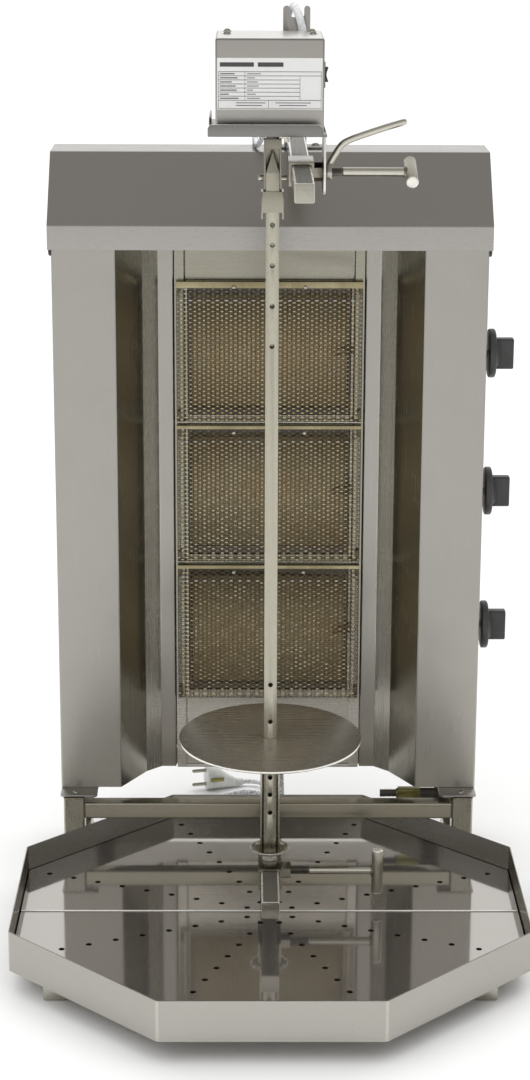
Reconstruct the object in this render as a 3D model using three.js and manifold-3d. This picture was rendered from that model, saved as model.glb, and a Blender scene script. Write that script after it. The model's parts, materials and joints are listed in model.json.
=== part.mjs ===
// Vertical rotisserie broiler: a sheet-metal cabinet with three stacked gas
// burners on a tube base, a motor carriage and a spit carriage that slide on
// two fore-aft bars, and an octagonal drip tray with two perforated plates.
// Millimetres, +Z up, +X right and +Y to the back, seen from the cook's side.
import * as THREE from 'three';
import { mergeVertices } from 'three/addons/utils/BufferGeometryUtils.js';
import Module from 'manifold-3d';

const wasm = await Module();
wasm.setup();

// ---- driving dimensions -------------------------------------------------
const GAP = 0.3;              // clearance between pieces that touch
const SHIFT_Y = -40;          // from the tray's centre to the middle of the footprint

const RAIL = 25;              // base tube section
const RAIL_X = 233;           // base rails and uprights, centre
const RAIL_FRONT = -137, RAIL_BACK = 352;
const UPR_Y0 = 190.5, UPR_Y1 = 215.5;
const REAR_Y0 = 325, REAR_Y1 = 350;
const SEAT_Z0 = 103, SEAT_Z1 = 106;

const BAR = 20;               // bar tube section
const BAR_Z0 = 76;            // underside of the cross tube and the lower bar
const LBAR_FRONT = -94;
const UBAR_X = 29.5;          // the upper bar runs beside the drive shaft
const UBAR_Z0 = 863.5, UBAR_FRONT = -154, UBAR_BACK = 352;

const CAB_HALF = 250;         // half the cabinet's width
const CAB_FRONT = 220, CAB_BACK = 362;
const CAB_Z0 = SEAT_Z1 + GAP, CAB_Z1 = 785;
const SHEET = 1.2;
const WING_IN = 177.6;        // inner edge of each front wing
const PANEL_HALF = 112.7;     // half the opening that holds the burners

const HOOD_HALF = 254, HOOD_FRONT = 217, HOOD_BACK = 364;
const HOOD_Z0 = 759.5, HOOD_LIP = 787, HOOD_TOP = 863, HOOD_RIDGE_Y = 288;

const BURNER_Z = [282.5, 455.3, 628.1];
const GUARD_HALF_W = 109.5, GUARD_HALF_H = 85;
const KNOB_Y = 252, KNOB_Z = [303.5, 469, 634.5];
const PIPE_X = 212, PIPE_Y = 250;

const SPIT_Y = 17;            // the spit's axis
const SPIT = 14;              // square spit bar
const SPIT_Z0 = 109.6, SPIT_SHOULDER = 873, SPIT_TIP = 894.4;
const SPIT_HOLES = [157.7, 179.2, 199.8, 266, 309.2, 689.1, 732.2, 775.6, 797.5, 818.6];
const PIN_Z = 867;
const PLATE_R = 101.5, PLATE_T = 3, PLATE_Z = 244.9, PLATE_TILT = 2;   // the loose plate leans to the front

const SCREW_R = 4.9, SCREW_BORE = 5.4;
const U_SCREW_Z = 873.5, L_SCREW_Z = 86, L_SCREW_Y = 16;

const TRAY_AF = 568;          // tray, across its flats
const TRAY_Z0 = 25.5, TRAY_Z1 = 71.5, TRAY_T = 1.5;
const PERF_Z0 = 41, PERF_Z1 = 42.2, PERF_AF = 562;
const FRONT_HOLES_Y = -4.5;   // the front plate's holes sit a little further from the seam
const HOLE_R = 3.5, HOLE_FIRST = 27.5, HOLE_PITCH = 31.3, HOLE_ROW = 9;

const CORD_R = 3;

// ---- solids ---------------------------------------------------------------
function solid(geometry) {
  const g = geometry.clone();
  g.deleteAttribute('normal');
  g.deleteAttribute('uv');
  const m = mergeVertices(g, 1e-4);
  const index = m.index.array;
  const pos = m.attributes.position.array;
  const tri = [];
  for (let i = 0; i < index.length; i += 3) {
    const [a, b, c] = [index[i], index[i + 1], index[i + 2]];
    if (a !== b && b !== c && a !== c) tri.push(a, b, c);
  }
  return new wasm.Manifold(new wasm.Mesh({
    numProp: 3, vertProperties: new Float32Array(pos), triVerts: new Uint32Array(tri),
  }));
}
function toGeometry(man) {
  const mesh = man.getMesh();
  const g = new THREE.BufferGeometry();
  const n = mesh.numProp;
  const count = mesh.vertProperties.length / n;
  const pos = new Float32Array(count * 3);
  for (let i = 0; i < count; i++) for (let k = 0; k < 3; k++) pos[i * 3 + k] = mesh.vertProperties[i * n + k];
  g.setAttribute('position', new THREE.BufferAttribute(pos, 3));
  g.setIndex(new THREE.BufferAttribute(new Uint32Array(mesh.triVerts), 1));
  g.computeVertexNormals();
  return g;
}
const join = (...s) => s.reduce((a, b) => a.add(b));
const cut = (a, ...s) => s.reduce((x, y) => x.subtract(y), a);

function box(x0, x1, y0, y1, z0, z1) {
  const g = new THREE.BoxGeometry(x1 - x0, y1 - y0, z1 - z0);
  g.translate((x0 + x1) / 2, (y0 + y1) / 2, (z0 + z1) / 2);
  return solid(g);
}
function rod(axis, r, from, to, a, b, seg = 20, turn = 0) {
  // axis x: (a, b) = (y, z); axis y: (a, b) = (x, z); axis z: (a, b) = (x, y)
  const g = new THREE.CylinderGeometry(r, r, to - from, seg);
  g.rotateY(turn);
  const mid = (from + to) / 2;
  if (axis === 'x') { g.rotateZ(-Math.PI / 2); g.translate(mid, a, b); }
  else if (axis === 'y') { g.translate(a, mid, b); }
  else { g.rotateX(Math.PI / 2); g.translate(a, b, mid); }
  return solid(g);
}
function shapeOf(points) {
  const s = new THREE.Shape();
  points.forEach(([u, v], i) => (i ? s.lineTo(u, v) : s.moveTo(u, v)));
  s.closePath();
  return s;
}
function extrude(points, depth) {
  return new THREE.ExtrudeGeometry(shapeOf(points), { depth, bevelEnabled: false, steps: 1 });
}
function prismZ(points, z0, z1) {
  const g = extrude(points, z1 - z0);
  g.translate(0, 0, z0);
  return solid(g);
}
function prismX(points, x0, x1) {      // points are (y, z)
  const g = extrude(points, x1 - x0);
  g.applyMatrix4(new THREE.Matrix4().makeBasis(
    new THREE.Vector3(0, 1, 0), new THREE.Vector3(0, 0, 1), new THREE.Vector3(1, 0, 0)));
  g.translate(x0, 0, 0);
  return solid(g);
}
function prismY(points, y0, y1) {      // points are (x, z)
  const g = extrude(points, y1 - y0);
  g.applyMatrix4(new THREE.Matrix4().makeBasis(
    new THREE.Vector3(1, 0, 0), new THREE.Vector3(0, 0, 1), new THREE.Vector3(0, -1, 0)));
  g.translate(0, y1, 0);
  return solid(g);
}
function roundRect(u0, u1, v0, v1, r, seg = 3) {
  const pts = [];
  const corner = (cu, cv, a0) => {
    for (let i = 0; i <= seg; i++) {
      const a = a0 + (Math.PI / 2) * (i / seg);
      pts.push([cu + r * Math.cos(a), cv + r * Math.sin(a)]);
    }
  };
  corner(u1 - r, v1 - r, 0);
  corner(u0 + r, v1 - r, Math.PI / 2);
  corner(u0 + r, v0 + r, Math.PI);
  corner(u1 - r, v0 + r, 1.5 * Math.PI);
  return pts;
}
function offsetPath(pts, t) {          // to the left of the walking direction
  const out = [];
  for (let i = 0; i < pts.length; i++) {
    const dir = (a, b) => {
      const d = [b[0] - a[0], b[1] - a[1]];
      const l = Math.hypot(...d);
      return [d[0] / l, d[1] / l];
    };
    const d0 = i > 0 ? dir(pts[i - 1], pts[i]) : dir(pts[i], pts[i + 1]);
    const d1 = i < pts.length - 1 ? dir(pts[i], pts[i + 1]) : d0;
    const n0 = [-d0[1], d0[0]], n1 = [-d1[1], d1[0]];
    const k = 1 + n0[0] * n1[0] + n0[1] * n1[1];
    out.push([pts[i][0] + t * (n0[0] + n1[0]) / k, pts[i][1] + t * (n0[1] + n1[1]) / k]);
  }
  return out;
}
const sheetOutline = (pts, t) => [...pts, ...offsetPath(pts, t).reverse()];
const mirrorX = (pts) => pts.map(([x, y]) => [-x, y]).reverse();
function alongPath(points, r, steps, sides) {
  const curve = new THREE.CatmullRomCurve3(points.map((p) => new THREE.Vector3(...p)), false, 'centripetal');
  const section = new THREE.Shape();
  for (let i = 0; i < sides; i++) {
    const a = (2 * Math.PI * i) / sides;
    if (i) section.lineTo(r * Math.cos(a), r * Math.sin(a)); else section.moveTo(r, 0);
  }
  section.closePath();
  return solid(new THREE.ExtrudeGeometry(section, { steps, extrudePath: curve, bevelEnabled: false }));
}

// ---- assembly ---------------------------------------------------------------
const LOOK = {
  steel: [0xb4b2a9, 0.32, 1.0], tube: [0xa9a69a, 0.38, 1.0], dark_steel: [0x8b877c, 0.3, 1.0],
  heated: [0x9a8554, 0.45, 1.0], ceramic: [0xd8cfae, 0.9, 0.0], cast: [0x5a5955, 0.6, 0.8],
  black: [0x161617, 0.45, 0.0], brass: [0x8f8a4b, 0.4, 1.0], white: [0xd9d9d6, 0.6, 0.0],
  zinc: [0xb9b7b0, 0.35, 1.0], cord: [0xc4c5c4, 0.8, 0.0],
};
const machine = new THREE.Group();
function add(name, man, look) {
  const [color, roughness, metalness] = LOOK[look];
  const mesh = new THREE.Mesh(toGeometry(man), new THREE.MeshStandardMaterial({ color, roughness, metalness }));
  mesh.name = name;
  mesh.position.set(0, SHIFT_Y, 0);
  machine.add(mesh);
}

// base frame: square tubes, each wall 1.5
const WALL = 1.5;
function tubeY(x0, x1, z0, z1, y0, y1, closedFront) {
  return cut(prismY(roundRect(x0, x1, z0, z1, 2.2, 2), y0, y1),
    prismY(roundRect(x0 + WALL, x1 - WALL, z0 + WALL, z1 - WALL, 0.8, 1), closedFront ? y0 + 2 : y0 - 1, y1 + 1));
}
function tubeZ(x0, x1, y0, y1, z0, z1) {
  return cut(prismZ(roundRect(x0, x1, y0, y1, 2.2, 2), z0, z1),
    prismZ(roundRect(x0 + WALL, x1 - WALL, y0 + WALL, y1 - WALL, 0.8, 1), z0 - 1, z1 + 1));
}
for (const [side, s] of [['left', -1], ['right', 1]]) {
  const x0 = s * RAIL_X - RAIL / 2, x1 = s * RAIL_X + RAIL / 2;
  add(`base_rail_${side}`, tubeY(x0, x1, 0, RAIL, RAIL_FRONT, RAIL_BACK, true), 'tube');
  add(`upright_front_${side}`, tubeZ(x0, x1, UPR_Y0, UPR_Y1, RAIL + GAP, SEAT_Z0 - GAP), 'tube');
  const seat = [[205.5, 197], [209.5, 193], [245.5, 193], [249.5, 197], [249.5, 354], [205.5, 354]];
  add(`seat_${side}`, cut(prismZ(s > 0 ? seat : mirrorX(seat), SEAT_Z0, SEAT_Z1),
    rod('z', 9.5, SEAT_Z0 - 1, SEAT_Z1 + 1, PIPE_X, PIPE_Y, 16)), 'tube');
}
add('rear_stand', join(
  ...[-1, 1].map((s) => tubeZ(s * RAIL_X - RAIL / 2, s * RAIL_X + RAIL / 2, REAR_Y0, REAR_Y1, RAIL + GAP, SEAT_Z0 - GAP)),
  box(-RAIL_X + 11.5, RAIL_X - 11.5, REAR_Y1 - 6, REAR_Y1 - 3, 27, 42)), 'tube');
add('cross_tube', cut(
  prismX(roundRect(193, 193 + BAR, BAR_Z0, BAR_Z0 + BAR, 2), -220.2, 220.2),
  prismX(roundRect(193 + WALL, 193 + BAR - WALL, BAR_Z0 + WALL, BAR_Z0 + BAR - WALL, 0.8, 2), -221, 221)), 'tube');
add('lower_bar', tubeY(-BAR / 2, BAR / 2, BAR_Z0, BAR_Z0 + BAR, LBAR_FRONT, 192.7, true), 'tube');

// cabinet: each side shell is one bent sheet, side panel, front wing and reflector
const shellPath = [[-CAB_HALF, CAB_BACK], [-CAB_HALF, CAB_FRONT], [-WING_IN, CAB_FRONT],
  [-148.8, 273], [-130.7, 291], [-PANEL_HALF, 291], [-PANEL_HALF, 300]];
const shellOutline = sheetOutline(shellPath, SHEET);
add('side_shell_left', prismZ(shellOutline, CAB_Z0, CAB_Z1), 'steel');
add('side_shell_right', cut(prismZ(mirrorX(shellOutline), CAB_Z0, CAB_Z1),
  ...KNOB_Z.map((z) => rod('x', 6, CAB_HALF - 3, CAB_HALF + 1, KNOB_Y, z, 16))), 'steel');
const floorHalf = offsetPath(shellPath, SHEET + 0.4);
floorHalf[0][1] = 357.6;
add('cabinet_floor', cut(prismZ([...floorHalf, ...mirrorX(floorHalf)], CAB_Z0, CAB_Z0 + SHEET),
  rod('z', 9.5, CAB_Z0 - 1, CAB_Z0 + 3, PIPE_X, PIPE_Y, 16)), 'steel');
const panelPath = [[-111.9, 301], [-111.9, 293.2], [-101, 293.2], [-99, 296.5],
  [99, 296.5], [101, 293.2], [111.9, 293.2], [111.9, 301]];
add('burner_panel', cut(prismZ(sheetOutline(panelPath, 1), CAB_Z0 + SHEET + GAP, CAB_Z1),
  ...BURNER_Z.map((z) => box(-97, 97, 290, 305, z - 78, z + 78))), 'steel');
add('back_cover', cut(box(-248.3, 248.3, 358, 358 + SHEET, 108, 784),
  ...[0, 1, 2, 3, 4, 5].flatMap((i) => [-1, 1].map((s) =>
    box(s * 120 - 60, s * 120 + 60, 350, 365, 640 + i * 18, 646 + i * 18)))), 'steel');
add('hood', cut(
  prismX([[HOOD_FRONT, HOOD_Z0], [HOOD_BACK, HOOD_Z0], [HOOD_BACK, HOOD_TOP], [HOOD_RIDGE_Y, HOOD_TOP], [HOOD_FRONT, HOOD_LIP]],
    -HOOD_HALF, HOOD_HALF),
  prismX([[HOOD_FRONT + SHEET, HOOD_Z0 - 5], [HOOD_BACK - SHEET, HOOD_Z0 - 5], [HOOD_BACK - SHEET, HOOD_TOP - SHEET],
    [HOOD_RIDGE_Y + 0.5, HOOD_TOP - SHEET], [HOOD_FRONT + SHEET, HOOD_LIP - 0.5]], -HOOD_HALF + SHEET, HOOD_HALF - SHEET)), 'steel');

// burners: guard in front, ceramic tile in the mouth of a hollow body with its mixing tube
BURNER_Z.forEach((z, i) => {
  const n = i + 1;
  add(`mesh_guard_${n}`, join(
    box(-GUARD_HALF_W, GUARD_HALF_W, 284, 285.5, z - GUARD_HALF_H, z + GUARD_HALF_H),
    ...[-1, 1].flatMap((s) => [-1, 1].map((t) =>
      box(s * 106.5 - 2, s * 106.5 + 2, 285, 292.9, z + t * 76 - 5, z + t * 76 + 5)))), 'heated');
  add(`ceramic_${n}`, box(-92.6, 92.6, 299, 310.7, z - 67.6, z + 67.6), 'ceramic');
  add(`burner_body_${n}`, cut(
    join(box(-96, 96, 298.5, 336, z - 77, z + 77), rod('x', 11, 90, 170, 323.5, z, 20)),
    box(-93, 93, 297, 311, z - 68, z + 68),
    box(-94.5, 94.5, 312.5, 334.5, z - 75.5, z + 75.5),
    rod('x', 9.5, 88, 171, 323.5, z, 20)), 'cast');
});

// gas line: supply pipe with three valve bodies, stems, knobs and the inlet
add('gas_manifold', cut(
  join(rod('z', 8, 87, 652, PIPE_X, PIPE_Y, 16), rod('x', 6.6, 186.3, PIPE_X + 6, PIPE_Y, 87, 16),
    rod('z', 8.8, 79.5, 96, PIPE_X, PIPE_Y, 16),
    ...KNOB_Z.map((z) => box(214, 246, KNOB_Y - 13, KNOB_Y + 13, z - 17, z + 17))),
  ...KNOB_Z.map((z) => rod('x', 4.3, 228, 247, KNOB_Y, z, 16))), 'cast');
add('inlet_fitting', cut(
  join(box(159, 186, PIPE_Y - 6.5, PIPE_Y + 6.5, 80.5, 93.5), rod('x', 5, 137, 160, PIPE_Y, 87, 16)),
  rod('x', 2.8, 136, 172, PIPE_Y, 87, 12)), 'brass');
KNOB_Z.forEach((z, i) => {
  const n = i + 1;
  add(`valve_stem_${n}`, rod('x', 3.9, 230, 266, KNOB_Y, z, 16), 'zinc');
  const skirt = new THREE.LatheGeometry([[0, 0], [27, 0], [28.5, 1.5], [28.5, 6.5], [26.5, 8.4], [16, 9.5], [0, 9.5]]
    .map(([r, h]) => new THREE.Vector2(r, h)), 28);
  skirt.rotateZ(-Math.PI / 2);
  skirt.translate(254.5, KNOB_Y, z);
  const grip = prismX(roundRect(KNOB_Y - 7, KNOB_Y + 7, z - 18, z + 18, 3), 262, 284);
  add(`knob_${n}`, cut(join(solid(skirt), grip), rod('x', 4.2, 253, 270, KNOB_Y, z, 16)), 'black');
});

// upper bar and its strap on the hood
add('upper_bar', tubeY(UBAR_X - BAR / 2, UBAR_X + BAR / 2, UBAR_Z0, UBAR_Z0 + BAR, UBAR_FRONT, UBAR_BACK, true), 'tube');
function channelOver(xc, half, t, zTop, zInner, zBottom) {
  return [[xc - half - t, zBottom], [xc - half, zBottom], [xc - half, zInner], [xc + half, zInner],
    [xc + half, zBottom], [xc + half + t, zBottom], [xc + half + t, zTop], [xc - half - t, zTop]];
}
add('bar_bracket', join(
  prismY(channelOver(UBAR_X, 10.3, 2.6, 886.4, 883.8, HOOD_TOP + GAP), 315, 345),
  box(UBAR_X - 34, UBAR_X - 12, 315, 345, HOOD_TOP + GAP, HOOD_TOP + GAP + 2.6),
  box(UBAR_X + 12, UBAR_X + 34, 315, 345, HOOD_TOP + GAP, HOOD_TOP + GAP + 2.6)), 'steel');

// drive carriage on the upper bar
add('upper_sleeve', cut(
  join(prismY(channelOver(UBAR_X, 10.3, 2.8, 886.6, 883.8, 862), -14, 48),
    rod('x', 10, UBAR_X + 12, 52, SPIT_Y, U_SCREW_Z, 6)),
  rod('x', SCREW_BORE, UBAR_X + 9, 53, SPIT_Y, U_SCREW_Z, 20)), 'steel');
add('upper_screw', rod('x', SCREW_R, 40, 138, SPIT_Y, U_SCREW_Z, 20), 'zinc');
{
  const g = new THREE.CylinderGeometry(6.5, 6.5, 56, 20);   // along y
  g.rotateX((17 * Math.PI) / 180);
  g.translate(144.8, SPIT_Y, U_SCREW_Z);
  add('upper_tbar', solid(g), 'zinc');
}
add('clamp_lever', cut(
  join(rod('x', 9, 55.1, 62, SPIT_Y, U_SCREW_Z, 6),
    alongPath([[59.2, SPIT_Y, 880.5], [59.8, SPIT_Y, 889], [63.5, SPIT_Y, 897.5], [71.6, SPIT_Y, 905.2],
      [84, SPIT_Y, 909.8], [110, SPIT_Y, 917.7], [139.5, SPIT_Y, 926.3]], 3.5, 14, 10)),
  rod('x', SCREW_BORE, 54, 63.5, SPIT_Y, U_SCREW_Z, 20)), 'zinc');

add('motor_shelf', cut(join(
  box(-66.5, 54.8, -43.5, 115, 916, 918),
  box(-67, 50, -44, -42, 916, 928.5),
  box(-66.5, -64.5, 10, 96, 916, 930),
  box(52.3, 54.8, -13, 47, 853, 918)),
rod('z', 11, 915, 919, 0, SPIT_Y, 20), rod('x', 5.7, 51, 56, SPIT_Y, U_SCREW_Z, 16)), 'steel');
add('motor_box', cut(box(-59.3, 51.9, -28, 90, 918.3, 1013.5),
  box(-58.1, 50.7, -26.8, 88.8, 915, 1012.3),
  box(50, 53, 10, 24, 963, 985)), 'steel');
add('gearmotor', cut(join(box(-35, 35, -18, 58, 918.6, 952), rod('z', 29, 951, 1000, 0, 28, 24)),
  rod('z', 7.3, 917, 943, 0, SPIT_Y, 20)), 'cast');
add('switch_housing', cut(join(box(52.2, 54, 8, 26, 961, 987), box(40, 53, 10.4, 23.6, 963.4, 984.6)),
  box(44.5, 55, 12, 22, 964.6, 983.4)), 'black');
add('rocker', prismY([[49, 967.5], [57.2, 966.4], [55.4, 974], [57.2, 981.6], [49, 980.5]], 12.4, 21.6), 'black');
add('cord_guide', cut(join(box(11.5, 40.5, 112, 113.8, 918.3, 1038), box(11.5, 40.5, 99, 113, 918.3, 920.3)),
  box(18.5, 34, 110, 115, 1026, 1040)), 'steel');
add('cord_gland', join(box(26, 40, 90.3, 106.6, 970, 988), rod('z', 6, 987, 994, 33, 99, 16)), 'black');

// drive socket, open to the front, with its cross pin
const HOLLOW = SPIT / 2 + 0.3;
add('drive_socket', cut(
  join(box(-9.3, 9.3, SPIT_Y - 7.3, SPIT_Y + 9.3, 846, 908), rod('z', 7, 907, 940, 0, SPIT_Y, 20)),
  box(-HOLLOW, HOLLOW, SPIT_Y - 12, SPIT_Y + HOLLOW, 845, 898),
  rod('x', 3.3, -12, 12, SPIT_Y, PIN_Z, 12)), 'zinc');
{
  const ball = new THREE.SphereGeometry(3.4, 14, 10);
  ball.rotateZ(Math.PI / 2);
  ball.translate(-12.3, SPIT_Y, PIN_Z);
  add('cross_pin', join(rod('x', 3, -12.3, 15.2, SPIT_Y, PIN_Z, 12), solid(ball)), 'zinc');
}
add('lock_collar', cut(
  join(prismZ(roundRect(-11.9, 11.9, SPIT_Y - 11.9, SPIT_Y + 11.9, 2), 832, 854),
    box(-11.9, -10, SPIT_Y - 3, SPIT_Y + 3, 824, 833), box(10, 11.9, SPIT_Y - 3, SPIT_Y + 3, 824, 833)),
  box(-9.7, 9.7, SPIT_Y - 9.7, SPIT_Y + 9.7, 820, 860)), 'zinc');

// spit carriage on the lower bar
add('lower_sleeve', cut(
  join(prismY(channelOver(0, 10.3, 2.8, 99.1, 96.3, 75), -13.5, 48),
    rod('x', 10, 12, 23.5, L_SCREW_Y, L_SCREW_Z, 6)),
  rod('x', SCREW_BORE, 9, 25, L_SCREW_Y, L_SCREW_Z, 20)), 'steel');
add('lower_screw', rod('x', SCREW_R, 10.6, 115, L_SCREW_Y, L_SCREW_Z, 20), 'zinc');
add('lower_tbar', rod('z', 6.5, 58.5, 111.5, 121.8, L_SCREW_Y, 20), 'zinc');
add('bearing_nut', cut(rod('z', 9.3, 99.4, 106.2, 0, SPIT_Y, 6), rod('z', 5.3, 99, 107, 0, SPIT_Y, 20)), 'zinc');

// spit holder: drip dish on a pivot, with a channel open to the front
{
  const dish = new THREE.LatheGeometry([[0, 99.8], [5, 99.8], [5, 106.5], [13, 107.4], [19, 109.6], [22.4, 113.2],
    [21.6, 114], [18.4, 110.9], [12.5, 109.3], [0, 109.3]].map(([r, z]) => new THREE.Vector2(r, z)), 32);
  dish.rotateX(Math.PI / 2);
  dish.translate(0, SPIT_Y, 0);
  add('spit_holder', join(solid(dish), cut(
    box(-10.8, 10.8, SPIT_Y - 7.4, SPIT_Y + 10.8, 109, 242.7),
    box(-8.8, 8.8, SPIT_Y - 12, SPIT_Y + 8.8, 108, 244))), 'steel');
}
{
  const tip = new THREE.ConeGeometry((SPIT / 2) * Math.SQRT2, SPIT_TIP - SPIT_SHOULDER + 0.5, 4, 1);
  tip.rotateY(Math.PI / 4);
  tip.rotateX(Math.PI / 2);
  tip.translate(0, SPIT_Y, (SPIT_TIP + SPIT_SHOULDER - 0.5) / 2);
  add('spit', cut(
    join(box(-SPIT / 2, SPIT / 2, SPIT_Y - SPIT / 2, SPIT_Y + SPIT / 2, SPIT_Z0, SPIT_SHOULDER - 0.2), solid(tip)),
    ...SPIT_HOLES.map((z) => rod('y', 2.75, SPIT_Y - 9, SPIT_Y + 9, 0, z, 12)),
    rod('x', 3.3, -9, 9, SPIT_Y, PIN_Z, 12)), 'steel');
}
add('meat_plate', cut(rod('z', PLATE_R, -PLATE_T / 2, PLATE_T / 2, 0, 0, 56),
  box(-HOLLOW, HOLLOW, -HOLLOW, HOLLOW, -PLATE_T, PLATE_T)).rotate([PLATE_TILT, 0, 0]).translate([0, SPIT_Y, PLATE_Z]), 'dark_steel');

// drip tray and its two perforated plates
const octagon = (af) => [0, 1, 2, 3, 4, 5, 6, 7].map((k) => {
  const a = ((22.5 + 45 * k) * Math.PI) / 180, r = af / 2 / Math.cos(Math.PI / 8);
  return [r * Math.cos(a), r * Math.sin(a)];
});
add('drip_tray', cut(prismZ(octagon(TRAY_AF), TRAY_Z0, TRAY_Z1),
  prismZ(octagon(TRAY_AF - 2 * TRAY_T), TRAY_Z0 + TRAY_T, TRAY_Z1 + 1)), 'steel');
for (const [name, s] of [['front', -1], ['rear', 1]]) {
  const y0 = s < 0 ? -300 : 0.6, y1 = s < 0 ? -0.6 : 300;
  const fy = s * 1.2, oy = s * 277;
  const holes = [];
  for (let row = 0; row < 8; row++) {
    const a = ((22.5 + 45 * row) * Math.PI) / 180;
    if (Math.sign(Math.sin(a)) !== s) continue;
    for (let k = 0; k < HOLE_ROW; k++) {
      const r = HOLE_FIRST + HOLE_PITCH * k;
      holes.push(rod('z', HOLE_R, PERF_Z0 - 1, PERF_Z1 + 1, r * Math.cos(a), r * Math.sin(a) + (s < 0 ? FRONT_HOLES_Y : 0), 8));
    }
  }
  const plate = prismZ(octagon(PERF_AF), PERF_Z0, PERF_Z1).intersect(box(-300, 300, y0, y1, 38, 50));
  add(`tray_plate_${name}`, join(
    cut(plate, ...holes),
    box(-280, 280, fy - 0.6, fy + 0.6, 27.3, PERF_Z1 - 0.2),
    box(-110, 110, oy - 0.6, oy + 0.6, 27.3, PERF_Z1 - 0.2)), 'dark_steel');
}

// mains cord: out of the gland, over the guide, down behind the cabinet, a loop on the floor
add('cord_run', alongPath([
  [33, 99.8, 994.3], [33, 99.8, 1003], [32, 100.2, 1013], [29.5, 104, 1024], [26.2, 112, 1032.6], [23, 123, 1036.9],
  [20.5, 136, 1034.6], [18, 150, 1024], [14.5, 165, 1006], [10.5, 183, 978], [5.5, 205, 945], [-1, 231, 913.5], [-7.5, 259, 888.5],
  [-12.5, 288, 873], [-15, 312, 868.6], [-16.5, 334, 870.2], [-17.2, 351, 873.2], [-17.5, 363.5, 869.6], [-17.4, 372, 860.5],
  [-17, 375.4, 847], [-16, 376, 820], [-13, 376, 750], [-8, 376, 640], [-3, 376, 530], [2, 376, 420], [7, 376, 310], [12, 376, 200],
  [16, 376, 110], [18.2, 376.5, 60], [19.2, 379.5, 34], [19.6, 388, 15.5], [18.8, 402, 5.6], [14.5, 420, 3.4], [4.5, 436, 3.3],
  [-9.5, 446.2, 3.3], [-27, 449.5, 3.3], [-44.3, 444.9, 3.3], [-56.9, 432.3, 3.3], [-61.5, 415, 3.3], [-56.9, 397.8, 3.3],
  [-44.3, 385.1, 3.4], [-27, 380.5, 4.4], [-9.8, 385.1, 6.6], [2.9, 397.8, 8.8], [7.5, 415, 9.7], [2.9, 432.3, 9.6], [-9.8, 444.9, 9.6],
  [-27, 449.5, 9.6], [-44.3, 444.9, 9.6], [-56.9, 432.3, 9.6], [-61.5, 415, 9.6], [-57.8, 401, 9.6], [-47.5, 391.5, 9.9],
  [-33, 389, 10.6], [-18, 393, 11.6], [-6.5, 402.5, 12.8], [-0.5, 416, 14.4], [1, 430, 16], [1.5, 443, 15.8], [1.6, 457, 11.6],
  [1.5, 471.8, 7.4], [-0.9, 482.8, 6.2], [-7.8, 491.7, 5.8], [-17.8, 496.9, 5.7], [-26.8, 497.7, 5.7], [-30.4, 497.1, 5.7],
], CORD_R, 80, 8), 'cord');
{
  // moulded body lying on the floor: each ring's lowest point is at floor level, so its axis drops towards the tail
  const rings = [[4.4, 0], [6, 4], [7.4, 14], [11.5, 26], [15, 36], [17, 43], [17, 50]];
  const n = 20, at = [], tri = [];
  for (const [r, h] of rings) for (let k = 0; k < n; k++) {
    const a = (2 * Math.PI * k) / n;
    at.push(-h, r * Math.cos(a), r * Math.sin(a) + Math.max(r, 5.4) + 0.3);
  }
  for (let i = 0; i < rings.length - 1; i++) for (let k = 0; k < n; k++) {
    const a = i * n + k, b = i * n + ((k + 1) % n);
    tri.push(a, b + n, b, a, a + n, b + n);
  }
  const last = (rings.length - 1) * n;
  for (let k = 1; k < n - 1; k++) tri.push(0, k, k + 1, last, last + k + 1, last + k);
  const g = new THREE.BufferGeometry();
  g.setAttribute('position', new THREE.Float32BufferAttribute(at, 3));
  g.setIndex(tri);
  const pins = [-9.5, 9.5].map((z) => rod('x', 2.4, -69, -49, 0, 17.3 + z, 12));
  const turned = join(solid(g), ...pins).rotate([0, 0, 15]).translate([-31.4, 496.9, 0]);
  add('plug', turned, 'white');
}

export default machine;
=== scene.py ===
import json
import math
import random

import bmesh
import bpy
from mathutils import Matrix, Vector
from mathutils.geometry import delaunay_2d_cdt


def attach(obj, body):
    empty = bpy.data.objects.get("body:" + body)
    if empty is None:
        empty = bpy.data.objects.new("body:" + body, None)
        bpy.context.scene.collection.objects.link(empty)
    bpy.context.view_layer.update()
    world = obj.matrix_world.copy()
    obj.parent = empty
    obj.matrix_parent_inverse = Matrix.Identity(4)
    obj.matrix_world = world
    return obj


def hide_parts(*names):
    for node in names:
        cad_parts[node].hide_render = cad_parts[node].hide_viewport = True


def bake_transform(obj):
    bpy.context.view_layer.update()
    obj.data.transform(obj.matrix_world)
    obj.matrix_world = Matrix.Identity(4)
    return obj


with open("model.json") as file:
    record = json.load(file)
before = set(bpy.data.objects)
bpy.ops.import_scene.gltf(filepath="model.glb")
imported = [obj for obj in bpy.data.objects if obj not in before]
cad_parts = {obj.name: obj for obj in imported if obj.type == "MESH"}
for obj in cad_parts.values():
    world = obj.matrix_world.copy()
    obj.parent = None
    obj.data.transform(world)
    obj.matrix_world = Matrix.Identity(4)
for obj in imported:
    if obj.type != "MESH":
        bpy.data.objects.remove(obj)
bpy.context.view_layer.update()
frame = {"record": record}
R = math.radians
DY = -40.0  # the drawing's Y is counted from the tray's centre


def P(x, y, z):
    return Vector((x / 1000.0, (y + DY) / 1000.0, z / 1000.0))


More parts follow.
